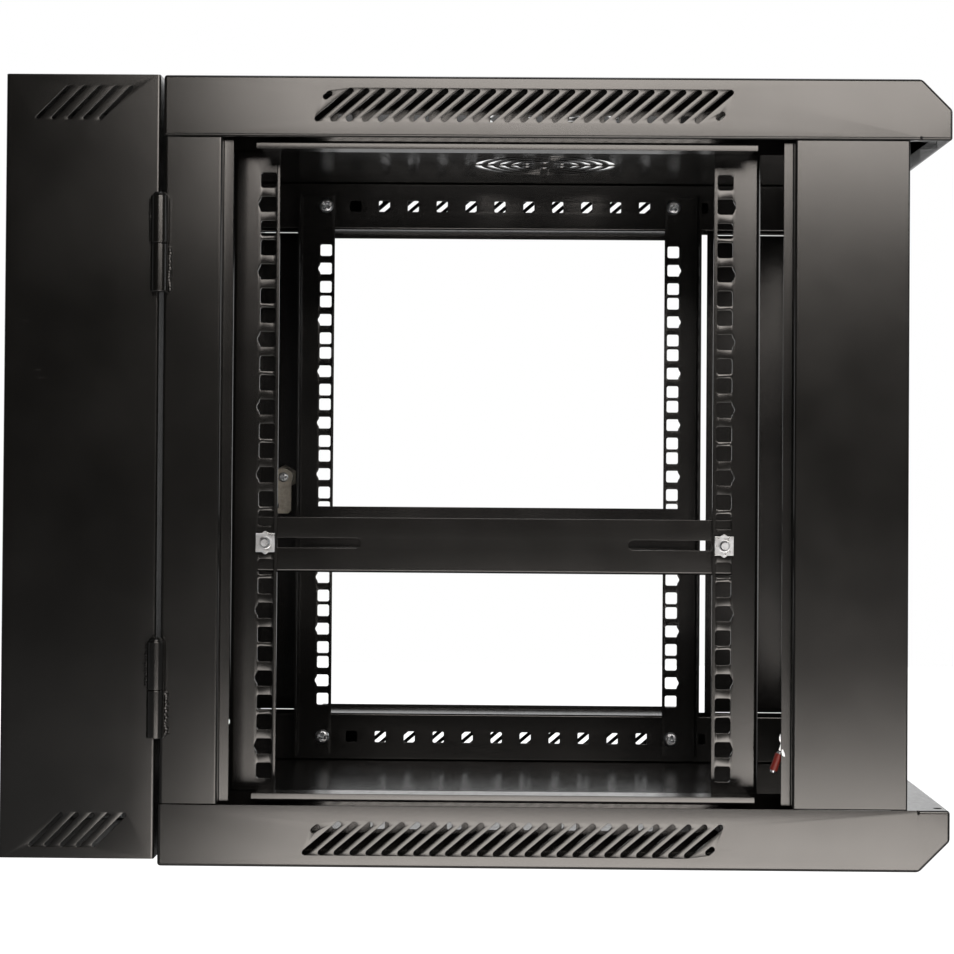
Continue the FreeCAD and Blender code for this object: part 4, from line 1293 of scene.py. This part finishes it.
@dataclass
class Hinges:
    """Turned barrels with their pins, and the uneven beads that weld them on."""

    finishes: Finishes
    radius: float = 5.5 * MM
    bore: float = 3.05 * MM
    pin: float = 3.0 * MM
    edge: float = 0.6 * MM
    bead: float = 5.7 * MM
    seed: int = 11

    def barrel(self, node: str, pin: str, weld_side: float) -> None:
        """One barrel and its weld.

        Args:
            node: The CAD node.
            pin: The CAD node of its pin.
            weld_side: -1 where the weld lies towards the front, 1 where it lies towards the wall.
        """
        (low, high), (pin_low, pin_high) = corners(node), corners(pin)
        axis, face = (pin_low + pin_high) / 2, high.x
        length, edge = high.z - low.z, self.edge
        draft = Draft().stand(Vector((axis.x, axis.y, low.z)), UPWARD)
        draft.lathe([(self.bore, 0.0), (self.radius - edge, 0.0), (self.radius - 0.3 * edge, 0.3 * edge),
                     (self.radius, edge), (self.radius, length - edge), (self.radius - 0.3 * edge, length - 0.3 * edge),
                     (self.radius - edge, length), (self.bore, length), (self.bore, 0.0)], 48)
        rng = random.Random(f"{self.seed} {node}")
        draft.paint = 1
        start, end = low.z + 0.07 * length, high.z - 0.07 * length
        height, line = start, axis.y + weld_side * self.bead
        while height < end:
            size = Vector((rng.uniform(1.6, 2.1), rng.uniform(1.5, 2.2), rng.uniform(1.4, 2.1))) * MM
            centre = Vector((face - 1.1 * MM, line + weld_side * rng.uniform(-0.3, 0.6) * MM, height))
            draft.lump(centre, size)
            if rng.random() < 0.35:
                spatter = Vector((face - 0.2 * MM, centre.y + weld_side * rng.uniform(2.0, 3.0) * MM, height))
                draft.lump(spatter, Vector((0.6, 0.5, 0.5)) * MM, 8)
            height += rng.uniform(1.4, 2.2) * MM
        root = [(0.0, -1.5 * MM), (2.1 * MM, -2.0 * MM), (2.1 * MM, 2.0 * MM), (0.0, 1.5 * MM)]
        draft.stand(Vector((face - 1.8 * MM, line, start - 1.0 * MM)), UPWARD, OUTWARD)
        draft.prism(root, 0.0, end - start + 2.0 * MM, 0.4 * MM)
        install(draft.finish(f"{node}_welded", self.finishes.coat, self.finishes.weld), node)

    def hinge_pin(self, node: str) -> None:
        """A pin with a domed head.

        Args:
            node: The CAD node.
        """
        low, high = corners(node)
        axis, top, head = (low + high) / 2, high.z - low.z, (high.x - low.x) / 2
        tall = head / 2
        turns = [math.radians(15.0 * step) for step in range(6)]
        dome = [(head * 0.97 * math.cos(turn), top - tall * (1.0 - math.sin(turn))) for turn in turns]
        draft = Draft().stand(Vector((axis.x, axis.y, low.z)), UPWARD)
        draft.lathe([(0.0, 0.0), (self.pin - 0.4 * MM, 0.0), (self.pin, 0.4 * MM), (self.pin, top - tall), *dome,
                     (0.0, top)], 36)
        install(draft.finish(f"{node}_turned", self.finishes.coat), node)

    def build(self) -> None:
        """Both hinges."""
        for level in ("upper", "lower"):
            pin = f"hinge_pin_{level}"
            self.barrel(f"hinge_wall_barrel_{level}", pin, 1.0)
            self.barrel(f"hinge_body_barrel_{level}", pin, -1.0)
            self.hinge_pin(pin)


# --- Lock ---


@dataclass
class Lock:
    """The cam lock in the far rear column."""

    finishes: Finishes
    outer: float = 8.0 * MM
    flange: float = 2.2 * MM
    plug: float = 5.5 * MM
    bore: float = 5.55 * MM
    tail: float = 6.0 * MM
    pitch: float = 1.0 * MM

    def _start(self, x: float, side: Vector = UPWARD) -> Draft:
        """A draft on the lock's axis that looks out of the cabinet."""
        low, high = corners("lock_plug")
        return Draft().stand(middle(low, high, x), OUTWARD, side)

    def barrel(self) -> None:
        """The threaded barrel with its flange."""
        low, high = corners("lock_barrel")
        wide, outer, length = (high.y - low.y) / 2, self.outer, high.x - low.x
        shoulder = length - self.flange
        profile = [(self.bore, 0.0), (outer * 0.93, 0.0)]
        height = 0.3 * MM
        while height < shoulder - 1.6 * self.pitch:
            profile += [(outer * 0.94, height), (outer, height + 0.5 * self.pitch)]
            height += self.pitch
        profile += [(outer * 0.96, shoulder - 0.6 * MM), (outer * 0.96, shoulder), (wide * 0.98, shoulder),
                    (wide, shoulder + 0.3 * MM), (wide, length - 0.9 * MM), (wide * 0.93, length - 0.3 * MM),
                    (wide * 0.85, length), (self.bore + 0.6 * MM, length), (self.bore, length - 0.4 * MM),
                    (self.bore, 0.0)]
        draft = self._start(low.x)
        draft.lathe(profile, 56)
        install(draft.finish("lock_barrel_cast", self.finishes.nickel), "lock_barrel")

    def cylinder(self) -> None:
        """The turning plug with its keyway and its square tail."""
        low, high = corners("lock_plug")
        length, tail, half, plug = high.x - low.x, 2.0 * MM, self.tail / 2, self.plug

        def keyway(point: Vector) -> float:
            """Rise of a point of the front face at the keyway."""
            inside = abs(point.y) < 0.8 * MM and abs(point.x) < 3.2 * MM and point.z > length - 0.5 * MM
            return -2.6 * MM if inside else 0.0

        draft = self._start(low.x)
        draft.prism([(-half, -half), (half, -half), (half, half), (-half, half)], 0.0, tail + 0.2 * MM, 0.3 * MM)
        profile = [(0.0, tail), (plug - 0.3 * MM, tail), (plug, tail + 0.3 * MM), (plug, length - 0.6 * MM)]
        profile += [((plug - 0.5 * MM) * (1.0 - step / 16), length) for step in range(17)]
        draft.lathe(profile, 64, keyway)
        install(draft.finish("lock_plug_turned", self.finishes.nickel), "lock_plug")

    def nut(self) -> None:
        """The thin nut that clamps the barrel."""
        low, high = corners("lock_nut")
        draft = self._start(low.x, BACKWARD)
        HexNut(high.y - low.y, high.x - low.x, self.outer + 0.05 * MM).draw(draft)
        install(draft.finish("lock_nut_hexagon", self.finishes.nickel, sharp=25.0), "lock_nut")

    def cam(self) -> None:
        """The cam, with its edges broken."""
        shape = plate_copy("lock_cam")
        bevel(shape, [edge for edge in shape.edges if edge.calc_face_angle(0.0) > math.radians(60.0)], 0.25 * MM)
        install(publish(shape, "lock_cam_pressed", self.finishes.nickel), "lock_cam")

    def screw(self) -> None:
        """The screw that holds the cam."""
        low, high = corners("lock_cam_screw")
        draft = self._start(low.x + 2.0 * MM)
        PanScrew((high.z - low.z) / 2, 2.0 * MM, 2.0 * MM, high.x - low.x - 2.0 * MM, 0.7 * MM).draw(draft)
        install(draft.finish("lock_cam_screw_turned", self.finishes.zinc), "lock_cam_screw")

    def build(self) -> None:
        """Make all its parts."""
        self.barrel()
        self.cylinder()
        self.nut()
        self.cam()
        self.screw()


# --- Earth point ---


@dataclass
class EarthPoint:
    """A welded stud with a nut, and a ring terminal in its red sleeve."""

    finishes: Finishes
    stud: float = 2.0 * MM
    ring: float = 4.2 * MM
    gauge: float = 0.8 * MM
    crimp: float = 1.8 * MM
    sleeve: float = 2.6 * MM
    sleeve_length: float = 11.0 * MM
    crimp_start: float = 9.0 * MM
    lean: float = 20.0

    def __post_init__(self) -> None:
        """Find the stud's foot and the direction in which the terminal hangs."""
        low, high = corners("earth_stud")
        self.foot = middle(low, high, low.x)
        self.down = Matrix.Rotation(math.radians(self.lean), 3, "X") @ -UPWARD
        self.heart = self.foot + OUTWARD * (self.sleeve + 0.3 * MM)

    def studs(self) -> None:
        """The stud and its nut."""
        low, high = corners("earth_stud")
        length, height = high.x - low.x, 0.6 * MM
        profile = [(0.0, 0.0), (self.stud, 0.0), (self.stud, 0.6 * MM)]
        while height < length - 1.2 * MM:
            profile += [(0.86 * self.stud, height + 0.35 * MM), (self.stud, height + 0.7 * MM)]
            height += 0.7 * MM
        draft = Draft().stand(self.foot, OUTWARD)
        draft.lathe([*profile, (0.75 * self.stud, length), (0.0, length)], 24)
        install(draft.finish("earth_stud_threaded", self.finishes.zinc), "earth_stud")

        low, high = corners("earth_nut")
        draft = Draft().stand(Vector((low.x, self.foot.y, self.foot.z)), OUTWARD, BACKWARD)
        HexNut(high.y - low.y, high.x - low.x, self.stud + 0.05 * MM).draw(draft)
        install(draft.finish("earth_nut_hexagon", self.finishes.zinc, sharp=25.0), "earth_nut")

    def terminal(self) -> None:
        """The ring, its tongue and the crimped barrel."""
        ring, gauge, hole = self.ring, self.gauge, self.stud + 0.15 * MM
        draft = Draft().stand(self.foot, OUTWARD, self.down)
        draft.lathe([(hole, 0.0), (ring - 0.1 * MM, 0.0), (ring, 0.1 * MM), (ring, gauge - 0.1 * MM),
                     (ring - 0.1 * MM, gauge), (hole, gauge), (hole, 0.0)], 40)
        draft.prism([(3.4 * MM, -1.9 * MM), (8.6 * MM, -1.5 * MM), (8.6 * MM, 1.5 * MM), (3.4 * MM, 1.9 * MM)],
                    0.0, gauge, 0.15 * MM)
        draft.stand(self.foot, BACKWARD.cross(OUTWARD).cross(self.down), self.down)
        rise = self.heart.x - self.foot.x
        side_view = [(7.0 * MM, 0.0), (8.6 * MM, 0.0), (11.0 * MM, rise - 1.2 * MM), (11.0 * MM, rise + 0.6 * MM),
                     (9.4 * MM, rise), (7.0 * MM, gauge)]
        sign = 1.0 if (draft.matrix.to_3x3() @ Vector((0.0, 1.0, 0.0))).x > 0 else -1.0
        draft.prism([(x, sign * y) for x, y in side_view], -1.5 * MM, 1.5 * MM, 0.2 * MM)
        draft.stand(self.heart + self.down * (self.crimp_start + 0.4 * MM), self.down, OUTWARD)
        end = self.crimp + self.sleeve_length + 1.2 * MM
        draft.lathe([(0.0, 0.2 * MM), (self.crimp * 0.8, 0.2 * MM), (self.crimp, 0.7 * MM),
                     (self.crimp, end - 0.3 * MM), (self.crimp * 0.75, end), (0.0, end)], 24)
        install(draft.finish("earth_terminal_pressed", self.finishes.zinc), "earth_terminal")

    def boot(self) -> None:
        """The red sleeve, a little narrower in the middle."""
        core, wide, tall = self.crimp + 0.05 * MM, self.sleeve, self.sleeve_length
        draft = Draft().stand(self.heart + self.down * (self.crimp_start + self.crimp), self.down, OUTWARD)
        draft.lathe([(core, 0.0), (wide * 0.92, 0.0), (wide, 0.03 * tall), (wide * 0.98, 0.3 * tall),
                     (wide * 0.94, 0.6 * tall), (wide, 0.94 * tall), (wide * 0.92, tall), (core, tall),
                     (core, 0.0)], 32)
        install(draft.finish("earth_sleeve_moulded", self.finishes.red), "earth_terminal_sleeve")

    def build(self) -> None:
        """Make all its parts."""
        self.studs()
        self.terminal()
        self.boot()


# --- Studio ---


@dataclass(frozen=True)
class Softbox:
    """One rectangular lamp; lengths in metres, brightness as the radiance of its face."""

    name: str
    place: tuple[float, float, float]
    aim: tuple[float, float, float]
    size: tuple[float, float]
    brightness: float
    colour: tuple[float, float, float] = (1.0, 1.0, 1.0)

    def build(self) -> None:
        """Hang the lamp."""
        data = bpy.data.lights.new(self.name, "AREA")
        data.shape = "RECTANGLE"
        data.size, data.size_y = self.size
        data.energy = self.brightness * math.pi * self.size[0] * self.size[1]
        data.color = self.colour
        lamp = bpy.data.objects.new(self.name, data)
        lamp.location = self.place
        lamp.rotation_euler = (Vector(self.aim) - Vector(self.place)).to_track_quat("-Z", "Y").to_euler()
        lamp.visible_camera = False
        bpy.context.scene.collection.objects.link(lamp)


@dataclass
class Studio:
    """Camera, lamps, floor and backdrop."""

    place: tuple[float, float, float] = (-1.78691, -0.31992, -0.00255)
    turn: float = -0.557
    tilt: float = 0.876
    roll: float = -0.42
    sensor: float = 36.0
    lens: float = 88.77
    shift: tuple[float, float] = (-0.0086, -0.0428)
    floor_level: float = -0.8
    floor_reach: float = 8.0
    floor_shade: float = 0.5
    white_from: float = 1.2
    white_beyond: float = 2.2
    warm: tuple[float, float, float] = (1.0, 0.925, 0.855)
    behind_glow: float = 0.45
    room_glow: float = 0.012

    def camera(self) -> None:
        """Square-on from the near side, with a slight tilt and roll."""
        data = bpy.data.cameras.new("camera")
        data.sensor_width = self.sensor
        data.lens = self.lens
        data.shift_x, data.shift_y = self.shift
        data.clip_start, data.clip_end = 0.05, 30.0
        turn, tilt, roll = (math.radians(angle) for angle in (self.turn, self.tilt, self.roll))
        ahead = Vector((math.cos(tilt) * math.cos(turn), -math.cos(tilt) * math.sin(turn), math.sin(tilt)))
        level = Vector((-math.sin(turn), -math.cos(turn), 0.0))
        down = ahead.cross(level)
        right = level * math.cos(roll) + down * math.sin(roll)
        up = level * math.sin(roll) - down * math.cos(roll)
        camera = bpy.data.objects.new("camera", data)
        camera.location = self.place
        camera.rotation_euler = Matrix((right, up, -ahead)).transposed().to_euler()
        bpy.context.scene.collection.objects.link(camera)
        bpy.context.scene.camera = camera

    def lamps(self) -> None:
        """Two long softboxes above and below the camera, and gentler ones for the other sides."""
        for box in (
            Softbox("upper_softbox", (-1.9, -0.74, 0.78), (-0.3, -0.62, 0.45), (1.6, 0.8), 5.4, self.warm),
            Softbox("lower_softbox", (-1.9, -0.74, -0.81), (-0.3, -0.62, -0.48), (1.6, 0.8), 5.6, self.warm),
            Softbox("front_softbox", (0.2, -2.4, 0.7), (0.0, -0.3, 0.0), (1.4, 1.0), 1.4),
            Softbox("top_softbox", (0.1, -0.4, 2.2), (0.0, -0.3, 0.0), (1.6, 1.6), 1.0),
        ):
            box.build()

    def floor(self) -> None:
        """A plain pale floor well below the cabinet, white far away and shaded near it."""
        shape = bmesh.new()
        bmesh.ops.create_grid(shape, x_segments=1, y_segments=1, size=self.floor_reach)
        bmesh.ops.translate(shape, verts=shape.verts, vec=(0.0, 0.0, self.floor_level))
        material, wires, shader = new_material("pale_floor")
        shader.inputs["Base Color"].default_value = (0.8, 0.8, 0.8, 1.0)
        shader.inputs["Roughness"].default_value = 0.9
        shader.inputs["Specular IOR Level"].default_value = 0.1
        shader.inputs["Emission Color"].default_value = (1.0, 1.0, 1.0, 1.0)
        rays = wires.add("ShaderNodeLightPath").outputs["Is Camera Ray"]
        distance = wires.add("ShaderNodeVectorMath", operation="LENGTH")
        wires.feed(distance, 0, wires.place())
        far = wires.ramp(distance.outputs["Value"], self.white_from, self.white_beyond)
        glow = wires.math("MULTIPLY_ADD", far, 1.0 - self.floor_shade, self.floor_shade)
        wires.feed(shader, "Emission Strength", wires.math("MULTIPLY", rays, glow))
        publish(shape, "floor", material)

    def world(self) -> None:
        """White wherever the camera looks; for the cabinet, white behind it and dim behind the camera."""
        world = bpy.data.worlds.new("studio")
        world.use_nodes = True
        bpy.context.scene.world = world
        wires = Wiring(world.node_tree)
        background = world.node_tree.nodes["Background"]
        facing = wires.add("ShaderNodeSeparateXYZ")
        wires.feed(facing, 0, wires.add("ShaderNodeTexCoord").outputs["Generated"])
        behind = wires.ramp(facing.outputs["X"], -0.2, 0.8)
        rays = wires.add("ShaderNodeLightPath").outputs
        height = wires.math("MULTIPLY_ADD", rays["Is Glossy Ray"], 1.0 - self.behind_glow, self.behind_glow)
        glow = wires.math("MULTIPLY_ADD", behind, height, self.room_glow)
        seen = wires.math("MAXIMUM", rays["Is Camera Ray"], rays["Is Transmission Ray"])
        wires.feed(background, "Strength", wires.math("MAXIMUM", glow, seen))
        background.inputs["Color"].default_value = (1.0, 1.0, 1.0, 1.0)

    def build(self) -> None:
        """Set up everything that isn't the cabinet."""
        self.camera()
        self.lamps()
        self.floor()
        self.world()
        bpy.context.scene.view_settings.view_transform = "Standard"


def main() -> None:
    """Build the pieces in order, dress them and set up the studio."""
    logging.basicConfig(level=logging.INFO)
    finishes = Finishes()
    SheetWork(finishes).build()
    Fasteners(finishes).build()
    Hinges(finishes).build()
    Lock(finishes).build()
    EarthPoint(finishes).build()
    Studio().build()


if __name__ == "__main__":
    main()
